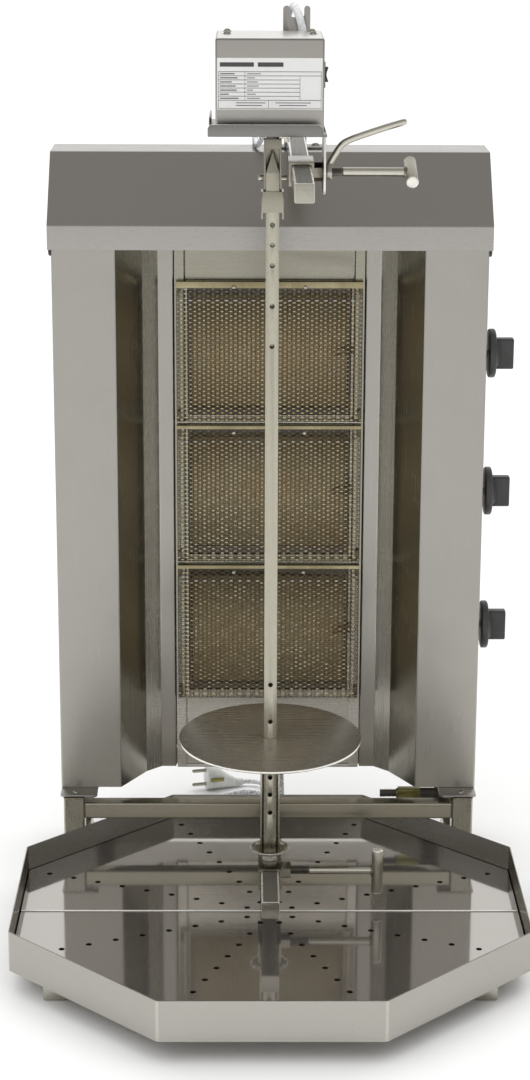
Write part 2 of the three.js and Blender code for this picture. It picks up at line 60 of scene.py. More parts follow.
# ---------------------------------------------------------------- camera
scene = bpy.context.scene
cam_data = bpy.data.cameras.new("camera")
cam = bpy.data.objects.new("camera", cam_data)
scene.collection.objects.link(cam)
scene.camera = cam
yaw, pitch, roll = R(0.474), R(15.612), R(0.208)
fwd = Vector((math.sin(yaw) * math.cos(pitch), math.cos(yaw) * math.cos(pitch), -math.sin(pitch)))
right = Vector((math.cos(yaw), -math.sin(yaw), 0))
up = right.cross(fwd)
right2 = math.cos(roll) * right + math.sin(roll) * up
up2 = -math.sin(roll) * right + math.cos(roll) * up
cam.matrix_world = Matrix((
    (right2.x, up2.x, -fwd.x, -0.0278), (right2.y, up2.y, -fwd.y, -2.5834),
    (right2.z, up2.z, -fwd.z, 1.189), (0, 0, 0, 1)))
cam_data.sensor_fit = "VERTICAL"
cam_data.sensor_height = 36.0
cam_data.lens = 2439.3 / 1080 * 36
cam_data.clip_start, cam_data.clip_end = 0.05, 60

# ---------------------------------------------------------------- node helpers


def new_mat(name):
    m = bpy.data.materials.new(name)
    m.use_nodes = True
    nt = m.node_tree
    return m, nt, nt.nodes["Principled BSDF"]


def node(nt, kind, **sockets):
    n = nt.nodes.new(kind)
    for k, v in sockets.items():
        if k in n.inputs:
            n.inputs[k].default_value = v
        else:
            setattr(n, k, v)
    return n


def noise(nt, scale3, scale=1.0, detail=4.0, rough=0.55):
    tc = nt.nodes.new("ShaderNodeTexCoord")
    mp = nt.nodes.new("ShaderNodeMapping")
    mp.inputs["Scale"].default_value = scale3
    nt.links.new(tc.outputs["Object"], mp.inputs["Vector"])
    n = nt.nodes.new("ShaderNodeTexNoise")
    n.inputs["Scale"].default_value = scale
    n.inputs["Detail"].default_value = detail
    n.inputs["Roughness"].default_value = rough
    nt.links.new(mp.outputs["Vector"], n.inputs["Vector"])
    return n


def ramp(nt, source, stops):
    r = nt.nodes.new("ShaderNodeValToRGB")
    els = r.color_ramp.elements
    while len(els) > len(stops):
        els.remove(els[-1])
    while len(els) < len(stops):
        els.new(0.5)
    for e, (p, c) in zip(els, stops):
        e.position = p
        e.color = (*c, 1) if len(c) == 3 else c
    nt.links.new(source, r.inputs["Fac"])
    return r


def maprange(nt, source, a, b, c, d):
    m = nt.nodes.new("ShaderNodeMapRange")
    for k, v in zip(("From Min", "From Max", "To Min", "To Max"), (a, b, c, d)):
        m.inputs[k].default_value = v
    nt.links.new(source, m.inputs["Value"])
    return m


def mixcol(nt, fac, a, b, mode="MIX"):
    m = nt.nodes.new("ShaderNodeMix")
    m.data_type = "RGBA"
    m.blend_type = mode
    for s, v in ((m.inputs["Factor"], fac), (m.inputs[6], a), (m.inputs[7], b)):
        if hasattr(v, "is_linked"):
            nt.links.new(v, s)
        else:
            s.default_value = v if isinstance(v, (int, float)) else (*v, 1)
    return m.outputs[2]


def bump(nt, bsdf, height, strength, distance):
    b = nt.nodes.new("ShaderNodeBump")
    b.inputs["Strength"].default_value = strength
    b.inputs["Distance"].default_value = distance
    nt.links.new(height, b.inputs["Height"])
    nt.links.new(b.outputs["Normal"], bsdf.inputs["Normal"])


def steel(name, base, rough, grain, metallic=1.0, aniso=0.0, spread=0.022, grain_bump=0.025, smudge=0.45, tint=None):
    """Stainless sheet: fine directional grain, hand smudges in the gloss, faint heat colour."""
    m, nt, b = new_mat(name)
    b.inputs["Metallic"].default_value = metallic
    g = noise(nt, grain, 1.0, 3.0, 0.6)
    lo = tuple(c * (1 - spread) for c in base)
    hi = tuple(min(1, c * (1 + spread)) for c in base)
    col = ramp(nt, g.outputs["Fac"], [(0.3, lo), (0.7, hi)]).outputs["Color"]
    big = noise(nt, (7, 7, 5), 1.0, 5.0, 0.6)
    cloud = maprange(nt, big.outputs["Fac"], 0.35, 0.7, 0.0, smudge * 0.35)
    col = mixcol(nt, cloud.outputs["Result"], col, tint or tuple(c * 0.86 for c in base))
    nt.links.new(col, b.inputs["Base Color"])
    fine = maprange(nt, g.outputs["Fac"], 0.3, 0.7, rough - 0.04, rough + 0.05)
    spots = noise(nt, (23, 23, 23), 1.0, 6.0, 0.7)
    spot = maprange(nt, spots.outputs["Fac"], 0.45, 0.75, 0.0, 0.12 * smudge)
    add = nt.nodes.new("ShaderNodeMath")
    add.operation = "ADD"
    nt.links.new(fine.outputs["Result"], add.inputs[0])
    nt.links.new(spot.outputs["Result"], add.inputs[1])
    nt.links.new(add.outputs[0], b.inputs["Roughness"])
    if aniso:
        b.inputs["Anisotropic"].default_value = aniso
    bump(nt, b, g.outputs["Fac"], grain_bump, 0.0002)
    return m


def graded(m, z0, z1, low, metallic):
    """Lets a sheet grow paler and duller towards its foot."""
    nt = m.node_tree
    b = nt.nodes["Principled BSDF"]
    tc_ = nt.nodes.new("ShaderNodeTexCoord")
    sp_ = nt.nodes.new("ShaderNodeSeparateXYZ")
    nt.links.new(tc_.outputs["Object"], sp_.inputs["Vector"])
    f = maprange(nt, sp_.outputs["Z"], z0, z1, 1.0, 0.0)
    src = b.inputs["Base Color"].links[0].from_socket
    nt.links.new(mixcol(nt, f.outputs["Result"], src, low), b.inputs["Base Color"])
    g = maprange(nt, f.outputs["Result"], 0.0, 1.0, b.inputs["Metallic"].default_value, metallic)
    nt.links.new(g.outputs["Result"], b.inputs["Metallic"])
    return m


UPRIGHT = (900, 900, 9)
ACROSS = (9, 900, 900)
DEEP = (900, 9, 900)
M = {}
M["wing"] = graded(steel("sheet_upright_grain", (0.36, 0.347, 0.32), 0.30, UPRIGHT), 0.10, 0.34, (0.40, 0.385, 0.345), 0.86)
M["reflector"] = steel("reflector_sheet", (0.345, 0.33, 0.285), 0.22, UPRIGHT, spread=0.015, grain_bump=0.01, tint=(0.27, 0.25, 0.20))
M["facet"] = graded(steel("reflector_facet", (0.38, 0.366, 0.32), 0.24, UPRIGHT, spread=0.015, grain_bump=0.008, tint=(0.33, 0.31, 0.26)), 0.12, 0.62, (0.46, 0.44, 0.39), 0.88)
M["hood"] = steel("hood_sheet", (0.365, 0.352, 0.335), 0.24, ACROSS, spread=0.015, grain_bump=0.012)
M["panel"] = graded(steel("panel_steel", (0.30, 0.29, 0.24), 0.24, ACROSS, tint=(0.27, 0.24, 0.16), spread=0.012, grain_bump=0.008), 0.185, 0.30, (0.60, 0.57, 0.51), 0.62)
M["tray"] = steel("tray_sheet", (0.42, 0.405, 0.37), 0.22, ACROSS, spread=0.015)
M["mirror"] = steel("tray_plate_sheet", (0.50, 0.475, 0.446), 0.055, ACROSS, metallic=0.90, spread=0.012, grain_bump=0.004, smudge=0.25)
M["disc"] = steel("disc_sheet", (0.46, 0.43, 0.375), 0.24, ACROSS, metallic=0.87, spread=0.01, grain_bump=0.005, smudge=0.4)
# painted light: a paler, duller copy of the hood sheet for its sloping front faces
M["slope"] = steel("hood_slope_painted_light", (0.43, 0.408, 0.378), 0.36, ACROSS, spread=0.01, grain_bump=0.006, tint=(0.395, 0.375, 0.35))
# painted shade: dark, dull copy of the tube steel for the bars' top faces
M["bar_top"] = steel("tube_top_painted_shade", (0.12, 0.114, 0.095), 0.42, DEEP, metallic=0.35, spread=0.02, grain_bump=0.006)
M["tip"] = steel("ground_tip", (0.60, 0.58, 0.49), 0.36, UPRIGHT, metallic=0.6, spread=0.03)
# painted highlight: pale steel laid on rounded edges by shine()
M["shine"] = steel("corner_painted_highlight", (0.80, 0.78, 0.72), 0.26, (60, 60, 60), metallic=0.55, spread=0.02)
M["collar"] = steel("collar_steel", (0.33, 0.315, 0.255), 0.24, UPRIGHT, spread=0.03)
M["tbar"] = steel("handle_steel", (0.40, 0.38, 0.315), 0.32, UPRIGHT, metallic=0.92, spread=0.03)
M["knuckle"] = steel("bare_knuckle", (0.66, 0.64, 0.58), 0.30, (90, 90, 90), metallic=0.62, spread=0.03)
# painted highlight: near-white, partly diffuse steel for the bright seam line where the tray plates meet
M["edge"] = steel("seam_painted_highlight", (0.90, 0.885, 0.85), 0.30, ACROSS, metallic=0.30, spread=0.02)
# painted highlight: paler, glossier steel for the tray's rounded outer corners
M["corner"] = steel("tray_corner_painted_highlight", (0.52, 0.50, 0.45), 0.16, UPRIGHT, spread=0.03)
M["sleeve"] = steel("formed_channel", (0.30, 0.285, 0.235), 0.22, DEEP, spread=0.03)
# painted highlight: near-white steel for the meat disc's rounded rim
M["rim"] = steel("disc_rim_painted_highlight", (0.85, 0.83, 0.77), 0.22, ACROSS, spread=0.03)
M["box"] = steel("box_sheet", (0.385, 0.372, 0.345), 0.34, ACROSS)
M["shelf"] = steel("shelf_sheet", (0.225, 0.218, 0.205), 0.27, ACROSS)
M["tube_x"] = steel("tube_grain_x", (0.40, 0.38, 0.31), 0.20, ACROSS, tint=(0.28, 0.24, 0.14))
M["tube_y"] = steel("tube_grain_y", (0.385, 0.36, 0.295), 0.22, DEEP, metallic=0.92, tint=(0.30, 0.26, 0.18))
M["tube_z"] = steel("tube_grain_z", (0.36, 0.345, 0.295), 0.24, UPRIGHT, tint=(0.28, 0.24, 0.17))
M["spit"] = steel("spit_steel", (0.44, 0.42, 0.345), 0.28, (240, 240, 120), spread=0.05, tint=(0.36, 0.33, 0.25))
# painted light: the motor box's top face, paler than its sides
M["box_top"] = steel("box_top_painted_light", (0.80, 0.79, 0.77), 0.3, ACROSS, spread=0.01, grain_bump=0.01)
M["socket"] = steel("socket_steel", (0.24, 0.225, 0.185), 0.26, UPRIGHT, spread=0.03)
M["zinc"] = steel("plated_steel", (0.46, 0.44, 0.385), 0.20, (90, 90, 90), spread=0.03)
M["bright"] = steel("turned_steel", (0.56, 0.54, 0.47), 0.17, (300, 60, 60), spread=0.03)
M["thread"] = steel("thread_steel", (0.22, 0.21, 0.19), 0.36, (90, 90, 90), spread=0.06)
M["cap"] = steel("end_cap_steel", (0.40, 0.385, 0.33), 0.20, ACROSS, metallic=0.9)
M["back"] = steel("back_sheet", (0.42, 0.41, 0.38), 0.36, UPRIGHT)


def patchy(name, base, second, metallic, rough, scale, bumpy=0.2, dist=0.0004):
    m, nt, b = new_mat(name)
    b.inputs["Metallic"].default_value = metallic
    n = noise(nt, (1, 1, 1), scale, 6.0, 0.65)
    col = ramp(nt, n.outputs["Fac"], [(0.35, base), (0.68, second)]).outputs["Color"]
    nt.links.new(col, b.inputs["Base Color"])
    r = maprange(nt, n.outputs["Fac"], 0.3, 0.7, rough - 0.08, rough + 0.08)
    nt.links.new(r.outputs["Result"], b.inputs["Roughness"])
    f = noise(nt, (1, 1, 1), scale * 12, 3.0, 0.6)
    bump(nt, b, f.outputs["Fac"], bumpy, dist)
    return m


M["black"] = patchy("moulded_black", (0.028, 0.027, 0.027), (0.045, 0.043, 0.042), 0.0, 0.42, 60, 0.12, 0.0002)
M["cast"] = patchy("dull_painted_iron", (0.10, 0.095, 0.085), (0.17, 0.155, 0.13), 0.6, 0.55, 40)
M["brass"] = patchy("dull_brass", (0.25, 0.23, 0.085), (0.32, 0.29, 0.12), 1.0, 0.34, 70)
M["weld"] = patchy("weld_bead", (0.42, 0.38, 0.28), (0.22, 0.18, 0.12), 1.0, 0.34, 260, 0.5)
M["white"] = patchy("moulded_white", (0.66, 0.67, 0.64), (0.74, 0.75, 0.72), 0.0, 0.36, 40, 0.08, 0.0002)
M["sheath"] = patchy("woven_sheath", (0.60, 0.61, 0.62), (0.82, 0.825, 0.83), 0.0, 0.5, 180, 0.5, 0.0004)
M["paper"] = patchy("label_paper", (0.70, 0.70, 0.69), (0.74, 0.74, 0.73), 0.0, 0.45, 30, 0.02)
M["ink"] = patchy("label_ink", (0.04, 0.04, 0.04), (0.06, 0.06, 0.06), 0.0, 0.5, 200, 0.02)
M["strip"] = patchy("heat_straw_strip", (0.36, 0.315, 0.195), (0.25, 0.205, 0.115), 1.0, 0.30, 26, 0.15)
# the dark material is heat-darkened steel on the guard edges, lugs and electrodes, and painted shade in the spit's
# holes and on the sheet behind the louvres
M["dark"] = patchy("heat_darkened_steel_and_painted_shade", (0.10, 0.088, 0.062), (0.15, 0.13, 0.095), 1.0, 0.42, 30)
M["grease"] = patchy("greased_pan_floor", (0.030, 0.027, 0.021), (0.045, 0.040, 0.031), 0.3, 0.5, 20)
M["floor"] = patchy("pale_floor", (0.87, 0.87, 0.87), (0.89, 0.89, 0.89), 0.0, 0.9, 2, 0.0)


def wire_material():
    """Expanded mesh: clean grey steel where it runs cool, straw and brown where the flame plays."""
    m, nt, b = new_mat("heat_tinted_mesh")
    b.inputs["Metallic"].default_value = 1.0
    n = noise(nt, (1, 1, 1), 11.0, 5.0, 0.6)
    col = ramp(nt, n.outputs["Fac"], [(0.30, (0.56, 0.51, 0.375)), (0.45, (0.57, 0.485, 0.31)),
                                      (0.58, (0.53, 0.42, 0.245)), (0.72, (0.42, 0.41, 0.35))]).outputs["Color"]
    nt.links.new(col, b.inputs["Base Color"])
    r = maprange(nt, n.outputs["Fac"], 0.3, 0.7, 0.30, 0.46)
    nt.links.new(r.outputs["Result"], b.inputs["Roughness"])
    f = noise(nt, (1, 1, 1), 900, 2.0)
    bump(nt, b, f.outputs["Fac"], 0.2, 0.0002)
    return m


M["wire"] = wire_material()


def ceramic_material():
    """Plaque burner: ceramic with rows of fine ports, browned in clouds; it is pale only in a painted band of light
    across its middle, and the ports are painted shade.
    """
    m, nt, b = new_mat("port_ceramic")
    b.inputs["Roughness"].default_value = 0.9
    n = noise(nt, (1, 1, 1), 12.0, 4.0, 0.6)
    body = ramp(nt, n.outputs["Fac"], [(0.32, (0.145, 0.125, 0.082)), (0.55, (0.13, 0.102, 0.06)),
                                       (0.72, (0.17, 0.152, 0.115))]).outputs["Color"]
    tc = nt.nodes.new("ShaderNodeTexCoord")
    box = nt.nodes.new("ShaderNodeSeparateXYZ")
    nt.links.new(tc.outputs["Generated"], box.inputs[0])
    # a band across the tile, palest a little below mid-height and fading to the plain body colour at the top and the
    # bottom: painted light and shade, the top lying in the shadow of the burner's upper edge
    painted_light_band = ramp(nt, box.outputs["Z"], [(0.0, (0.25, 0.25, 0.25)), (0.22, (0.55, 0.55, 0.55)), (0.45, (1, 1, 1)),
                                       (0.62, (0.75, 0.75, 0.75)), (0.92, (0.0, 0.0, 0.0))]).outputs["Color"]
    body = mixcol(nt, painted_light_band, body, (0.30, 0.245, 0.15))
    v = nt.nodes.new("ShaderNodeTexVoronoi")
    v.inputs["Scale"].default_value = 420
    v.inputs["Randomness"].default_value = 0.15
    nt.links.new(tc.outputs["Object"], v.inputs["Vector"])
    # ports: dark dots with a bump, painted shade inside the port holes
    ports = maprange(nt, v.outputs["Distance"], 0.25, 0.4, 0.0, 1.0)
    col = mixcol(nt, ports.outputs["Result"], (0.06, 0.045, 0.03), body)
    nt.links.new(col, b.inputs["Base Color"])
    bump(nt, b, ports.outputs["Result"], 0.6, 0.0006)
    return m


M["ceramic"] = ceramic_material()


def braid_material():
    """Braided sleeve: pale yarn with dark flecks, in small diagonal cells."""
    m, nt, b = new_mat("braided_sleeve")
    b.inputs["Roughness"].default_value = 0.75
    tc = nt.nodes.new("ShaderNodeTexCoord")
    v = nt.nodes.new("ShaderNodeTexVoronoi")
    v.inputs["Scale"].default_value = 620
    v.inputs["Randomness"].default_value = 0.6
    nt.links.new(tc.outputs["Object"], v.inputs["Vector"])
    n = noise(nt, (1, 1, 1), 420.0, 2.0)
    col = ramp(nt, n.outputs["Fac"], [(0.36, (0.22, 0.23, 0.27)), (0.45, (0.58, 0.59, 0.61)), (0.54, (0.82, 0.825, 0.835))]).outputs["Color"]
    nt.links.new(col, b.inputs["Base Color"])
    bump(nt, b, v.outputs["Distance"], 0.8, 0.0006)
    return m


M["braid"] = braid_material()

# ---------------------------------------------------------------- mesh helpers


def finish_mesh(me, smooth=35):
    me.validate()
    bm = bmesh.new()
    bm.from_mesh(me)
    bmesh.ops.recalc_face_normals(bm, faces=bm.faces)
    bm.to_mesh(me)
    bm.free()
    me.shade_smooth()
    me.set_sharp_from_angle(angle=R(smooth))


def make(name, verts, faces, mat, smooth=35):
    me = bpy.data.meshes.new(name)
    me.from_pydata([tuple(v) for v in verts], [], faces)
    finish_mesh(me, smooth)
    ob = bpy.data.objects.new(name, me)
    scene.collection.objects.link(ob)
    me.materials.append(M[mat] if isinstance(mat, str) else mat)
    return ob


def modify(ob, kind, **kw):
    m = ob.modifiers.new(kind.lower(), kind)
    for k, v in kw.items():
        setattr(m, k, v)
    return m


def apply_all(ob, smooth=35):
    bpy.context.view_layer.update()
    dg = bpy.context.evaluated_depsgraph_get()
    me = bpy.data.meshes.new_from_object(ob.evaluated_get(dg), depsgraph=dg)
    old = ob.data
    mats = [m for m in old.materials]
    ob.modifiers.clear()
    ob.data = me
    if not me.materials:
        for m in mats:
            me.materials.append(m)
    me.name = ob.name
    bpy.data.meshes.remove(old)
    me.shade_smooth()
    me.set_sharp_from_angle(angle=R(smooth))
    return ob


def bevel(ob, width, segments=3, angle=30, smooth=35):
    modify(ob, "BEVEL", width=width / 1000.0, segments=segments, limit_method="ANGLE", angle_limit=R(angle),
           use_clamp_overlap=True, harden_normals=False)
    return apply_all(ob, smooth)


def joined(name, objs):
    """One object from several, keeping each face's material."""
    bm = bmesh.new()
    mats = []
    for o in objs:
        me = o.data.copy()
        me.transform(o.matrix_world)
        index = []
        for m in o.data.materials:
            if m not in mats:
                mats.append(m)
            index.append(mats.index(m))
        for p in me.polygons:
            p.material_index = index[p.material_index] if index else 0
        bm.from_mesh(me)
        bpy.data.meshes.remove(me)
    me = bpy.data.meshes.new(name)
    bm.to_mesh(me)
    bm.free()
    for m in mats:
        me.materials.append(m)
    for o in objs:
        bpy.data.objects.remove(o)
    ob = bpy.data.objects.new(name, me)
    scene.collection.objects.link(ob)
    me.set_sharp_from_angle(angle=R(35))
    return ob


AX = {"x": lambda u, v, w: (w, u, v), "y": lambda u, v, w: (u, w, v), "z": lambda u, v, w: (u, v, w)}


def prism(name, poly, axis, lo, hi, mat, smooth=35):
    """poly is (y, z), (x, z) or (x, y) for axis x, y or z, in millimetres."""
    f = AX[axis]
    n = len(poly)
    verts = [P(*f(u, v, lo)) for u, v in poly] + [P(*f(u, v, hi)) for u, v in poly]
    faces = [list(range(n)), list(range(2 * n - 1, n - 1, -1))]
    faces += [[i, (i + 1) % n, n + (i + 1) % n, n + i] for i in range(n)]
    return make(name, verts, faces, mat, smooth)


def block(name, x0, x1, y0, y1, z0, z1, mat, b=0.6, seg=2):
    ob = prism(name, [(x0, y0), (x1, y0), (x1, y1), (x0, y1)], "z", z0, z1, mat)
    return bevel(ob, b, seg) if b else ob


def lathe(name, profile, axis, centre, mat, seg=32, smooth=35, turn=0.0):
    """profile is (radius, height along the axis); a profile that starts and ends on the axis is capped there."""
    verts, faces, rings = [], [], []
    for r, h in profile:
        if r < 1e-6:
            rings.append([len(verts)])
            a = 0
            u, v = 0, 0
            p = {"x": (centre[0] + h, centre[1], centre[2]), "y": (centre[0], centre[1] + h, centre[2]),
                 "z": (centre[0], centre[1], centre[2] + h)}[axis]
            verts.append(P(*p))
        else:
            ring = []
            for i in range(seg):
                a = 2 * math.pi * i / seg + turn
                u, v = r * math.cos(a), r * math.sin(a)
                p = {"x": (centre[0] + h, centre[1] + u, centre[2] + v), "y": (centre[0] + u, centre[1] + h, centre[2] + v),
                     "z": (centre[0] + u, centre[1] + v, centre[2] + h)}[axis]
                ring.append(len(verts))
                verts.append(P(*p))
            rings.append(ring)
    for a, b in zip(rings, rings[1:]):
        for i in range(seg):
            j = (i + 1) % seg
            if len(a) == 1 and len(b) == 1:
                continue
            if len(a) == 1:
                faces.append([a[0], b[i], b[j]])
            elif len(b) == 1:
                faces.append([a[i], b[0], a[j]])
            else:
                faces.append([a[i], b[i], b[j], a[j]])
    return make(name, verts, faces, mat, smooth)


def round_path(pts, r, seg=4):
    out = [pts[0]]
    for a, b, c in zip(pts, pts[1:], pts[2:]):
        a, b, c = Vector(a), Vector(b), Vector(c)
        u, v = (a - b).normalized(), (c - b).normalized()
        ang = u.angle(v)
        if math.pi - ang < 0.02 or r <= 0:
            out.append(tuple(b))
            continue
        d = min(r / math.tan(ang / 2), (a - b).length * 0.45, (c - b).length * 0.45)
        rr = d * math.tan(ang / 2)
        centre = b + (u + v).normalized() * (rr / math.sin(ang / 2))
        p0, p1 = b + u * d, b + v * d
        a0 = math.atan2(*(p0 - centre).yx)
        a1 = math.atan2(*(p1 - centre).yx)
        da = (a1 - a0 + math.pi) % (2 * math.pi) - math.pi
        for i in range(seg + 1):
            t = a0 + da * i / seg
            out.append((centre.x + rr * math.cos(t), centre.y + rr * math.sin(t)))
    out.append(pts[-1])
    return out


def offset(pts, t):
    out = []
    n = len(pts)
    for i in range(n):
        a = Vector(pts[i]) - Vector(pts[i - 1]) if i else Vector(pts[1]) - Vector(pts[0])
        b = Vector(pts[i + 1]) - Vector(pts[i]) if i < n - 1 else a
        a.normalize()
        b.normalize()
        na, nb = Vector((-a.y, a.x)), Vector((-b.y, b.x))
        k = 1 + na.dot(nb)
        q = Vector(pts[i]) + (na + nb) * (t / k)
        out.append((q.x, q.y))
    return out


def bent_sheet(name, path, t, axis, lo, hi, mat, r=2.0, seg=4):
    """A folded sheet: path is its outer face, and t points to the left of the walk."""
    outer = round_path(path, r, seg)
    inner = offset(outer, t)
    f = AX[axis]
    n = len(outer)
    verts = []
    for w in (lo, hi):
        verts += [P(*f(u, v, w)) for u, v in outer] + [P(*f(u, v, w)) for u, v in inner]
    faces = []
    for i in range(n - 1):
        faces += [[i, i + 1, n + i + 1, n + i], [2 * n + i, 3 * n + i, 3 * n + i + 1, 2 * n + i + 1],
                  [i, 2 * n + i, 2 * n + i + 1, i + 1], [n + i, n + i + 1, 3 * n + i + 1, 3 * n + i]]
    faces += [[0, n, 3 * n, 2 * n], [n - 1, 3 * n - 1, 4 * n - 1, 2 * n - 1]]
    return make(name, verts, faces, mat, 25)


def cut(ob, cutters):
    for c in cutters:
        modify(ob, "BOOLEAN", operation="DIFFERENCE", object=c, solver="EXACT")
    apply_all(ob)
    for c in cutters:
        bpy.data.objects.remove(c)
    return ob


def smooth_points(ctrl, n):
    """Centripetal Catmull-Rom through ctrl (millimetres), resampled to n points an equal way apart."""
    pts = [Vector(p) for p in ctrl]
    ext = [pts[0] * 2 - pts[1]] + pts + [pts[-1] * 2 - pts[-2]]
    dense = []
    for p0, p1, p2, p3 in zip(ext, ext[1:], ext[2:], ext[3:]):
        t0 = 0.0
        t1 = t0 + max((p1 - p0).length, 1e-6) ** 0.5
        t2 = t1 + max((p2 - p1).length, 1e-6) ** 0.5
        t3 = t2 + max((p3 - p2).length, 1e-6) ** 0.5
        for k in range(12):
            t = t1 + (t2 - t1) * k / 12
            a1 = p0 * ((t1 - t) / (t1 - t0)) + p1 * ((t - t0) / (t1 - t0))
            a2 = p1 * ((t2 - t) / (t2 - t1)) + p2 * ((t - t1) / (t2 - t1))
            a3 = p2 * ((t3 - t) / (t3 - t2)) + p3 * ((t - t2) / (t3 - t2))
            b1 = a1 * ((t2 - t) / (t2 - t0)) + a2 * ((t - t0) / (t2 - t0))
            b2 = a2 * ((t3 - t) / (t3 - t1)) + a3 * ((t - t1) / (t3 - t1))
            dense.append(b1 * ((t2 - t) / (t2 - t1)) + b2 * ((t - t1) / (t2 - t1)))
    dense.append(pts[-1])
    cum = [0.0]
    for a, b in zip(dense, dense[1:]):
        cum.append(cum[-1] + (b - a).length)
    out, j = [], 0
    for i in range(n):
        s = cum[-1] * i / (n - 1)
        while j < len(cum) - 2 and cum[j + 1] < s:
            j += 1
        w = (s - cum[j]) / max(cum[j + 1] - cum[j], 1e-9)
        out.append(dense[j].lerp(dense[j + 1], min(max(w, 0), 1)))
    return out, cum[-1]


def tube(name, pts, r, mat, sides=12, wobble=None):
    """Round rod along points in millimetres; r is a number or a list of radii."""
    verts, faces = [], []
    n = len(pts)
    pts = [Vector(p) for p in pts]
    tang = [(pts[min(i + 1, n - 1)] - pts[max(i - 1, 0)]).normalized() for i in range(n)]
    ref = Vector((0, 0, 1)) if abs(tang[0].z) < 0.9 else Vector((1, 0, 0))
    u = tang[0].cross(ref).normalized()
    for i in range(n):
        if i:
            q = tang[i - 1].rotation_difference(tang[i])
            u = q @ u
            u = (u - tang[i] * u.dot(tang[i])).normalized()
        v = tang[i].cross(u)
        for k in range(sides):
            a = 2 * math.pi * k / sides
            rr = (r[i] if isinstance(r, (list, tuple)) else r) * (wobble(i, k) if wobble else 1)
            verts.append(P(*(pts[i] + u * (rr * math.cos(a)) + v * (rr * math.sin(a)))))
    for i in range(n - 1):
        for k in range(sides):
            a, b = i * sides + k, i * sides + (k + 1) % sides
            faces.append([a, b, b + sides, a + sides])
    faces.append(list(range(sides))[::-1])
    faces.append([(n - 1) * sides + k for k in range(sides)])
    return make(name, verts, faces, mat, 50)


def thread_x(name, x0, x1, y, z, r, pitch, depth, mat, seg=28):
    """Screw thread along X, with a true helix."""
    per = 6
    rows = int(round((x1 - x0) / pitch * per))
    verts, faces = [], []
    for i in range(rows + 1):
        x = x0 + (x1 - x0) * i / rows
        end = min(1.0, min(x - x0, x1 - x) / (pitch * 0.8))
        for k in range(seg):
            a = 2 * math.pi * k / seg
            ph = ((x - x0) / pitch - k / seg) % 1.0
            tri = abs(2 * ph - 1)
            rr = r - depth * (1 - tri) * (0.3 + 0.7 * end) - depth * 0.5 * (1 - end)
            verts.append(P(x, y + rr * math.cos(a), z + rr * math.sin(a)))
    for i in range(rows):
        for k in range(seg):
            a, b = i * seg + k, i * seg + (k + 1) % seg
            faces.append([a, a + seg, b + seg, b])
    faces.append(list(range(seg)))
    faces.append([rows * seg + k for k in range(seg)][::-1])
    return make(name, verts, faces, mat, 60)


def shine(ob, mat="shine", limit=0.96, least=0.15, keep=None):
    """Gives the rolled corners of a piece a paler material: painted highlights along its edges."""
    ob.data.materials.append(M[mat])
    k = len(ob.data.materials) - 1
    for p in ob.data.polygons:
        n = sorted((abs(p.normal.x), abs(p.normal.y), abs(p.normal.z)))
        if n[2] < limit and n[1] > least and (keep is None or keep(p)):
            p.material_index = k
    return ob


def dress(cad, mat, width=0.5, seg=2, body=None, angle=30, smooth=35):
    """A bevelled copy of a CAD solid, which then stands for it."""
    src = bpy.data.objects[cad]
    me = src.data.copy()
    me.materials.clear()
    ob = bpy.data.objects.new(cad + "_skin", me)
    scene.collection.objects.link(ob)
    me.materials.append(M[mat])
    bm = bmesh.new()
    bm.from_mesh(me)
    bmesh.ops.remove_doubles(bm, verts=bm.verts, dist=2e-6)
    bmesh.ops.dissolve_limit(bm, angle_limit=R(1.0), verts=bm.verts, edges=bm.edges)
    bm.to_mesh(me)
    bm.free()
    if width:
        bevel(ob, width, seg, angle, smooth)
    else:
        me.shade_smooth()
        me.set_sharp_from_angle(angle=R(smooth))
    return place(ob, cad, body)


BODY = {}
for b_name, b_nodes in frame["record"]["behaviour"]["bodies"].items():
    for n_ in b_nodes:
        BODY[n_] = b_name


def place(ob, cad=None, body=None):
    """ride and replace in one call: cad is the CAD node that ob stands for."""
    if cad:
        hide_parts(cad)
    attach(ob, body or BODY[cad])
    return ob


def ride_on(ob, cad):
    """a small piece that rides with a CAD node's body"""
    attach(ob, BODY[cad])
    return ob


def octagon(af):
    r = af / 2 / math.cos(math.pi / 8)
    return [(r * math.cos(R(22.5 + 45 * k)), r * math.sin(R(22.5 + 45 * k))) for k in range(8)]


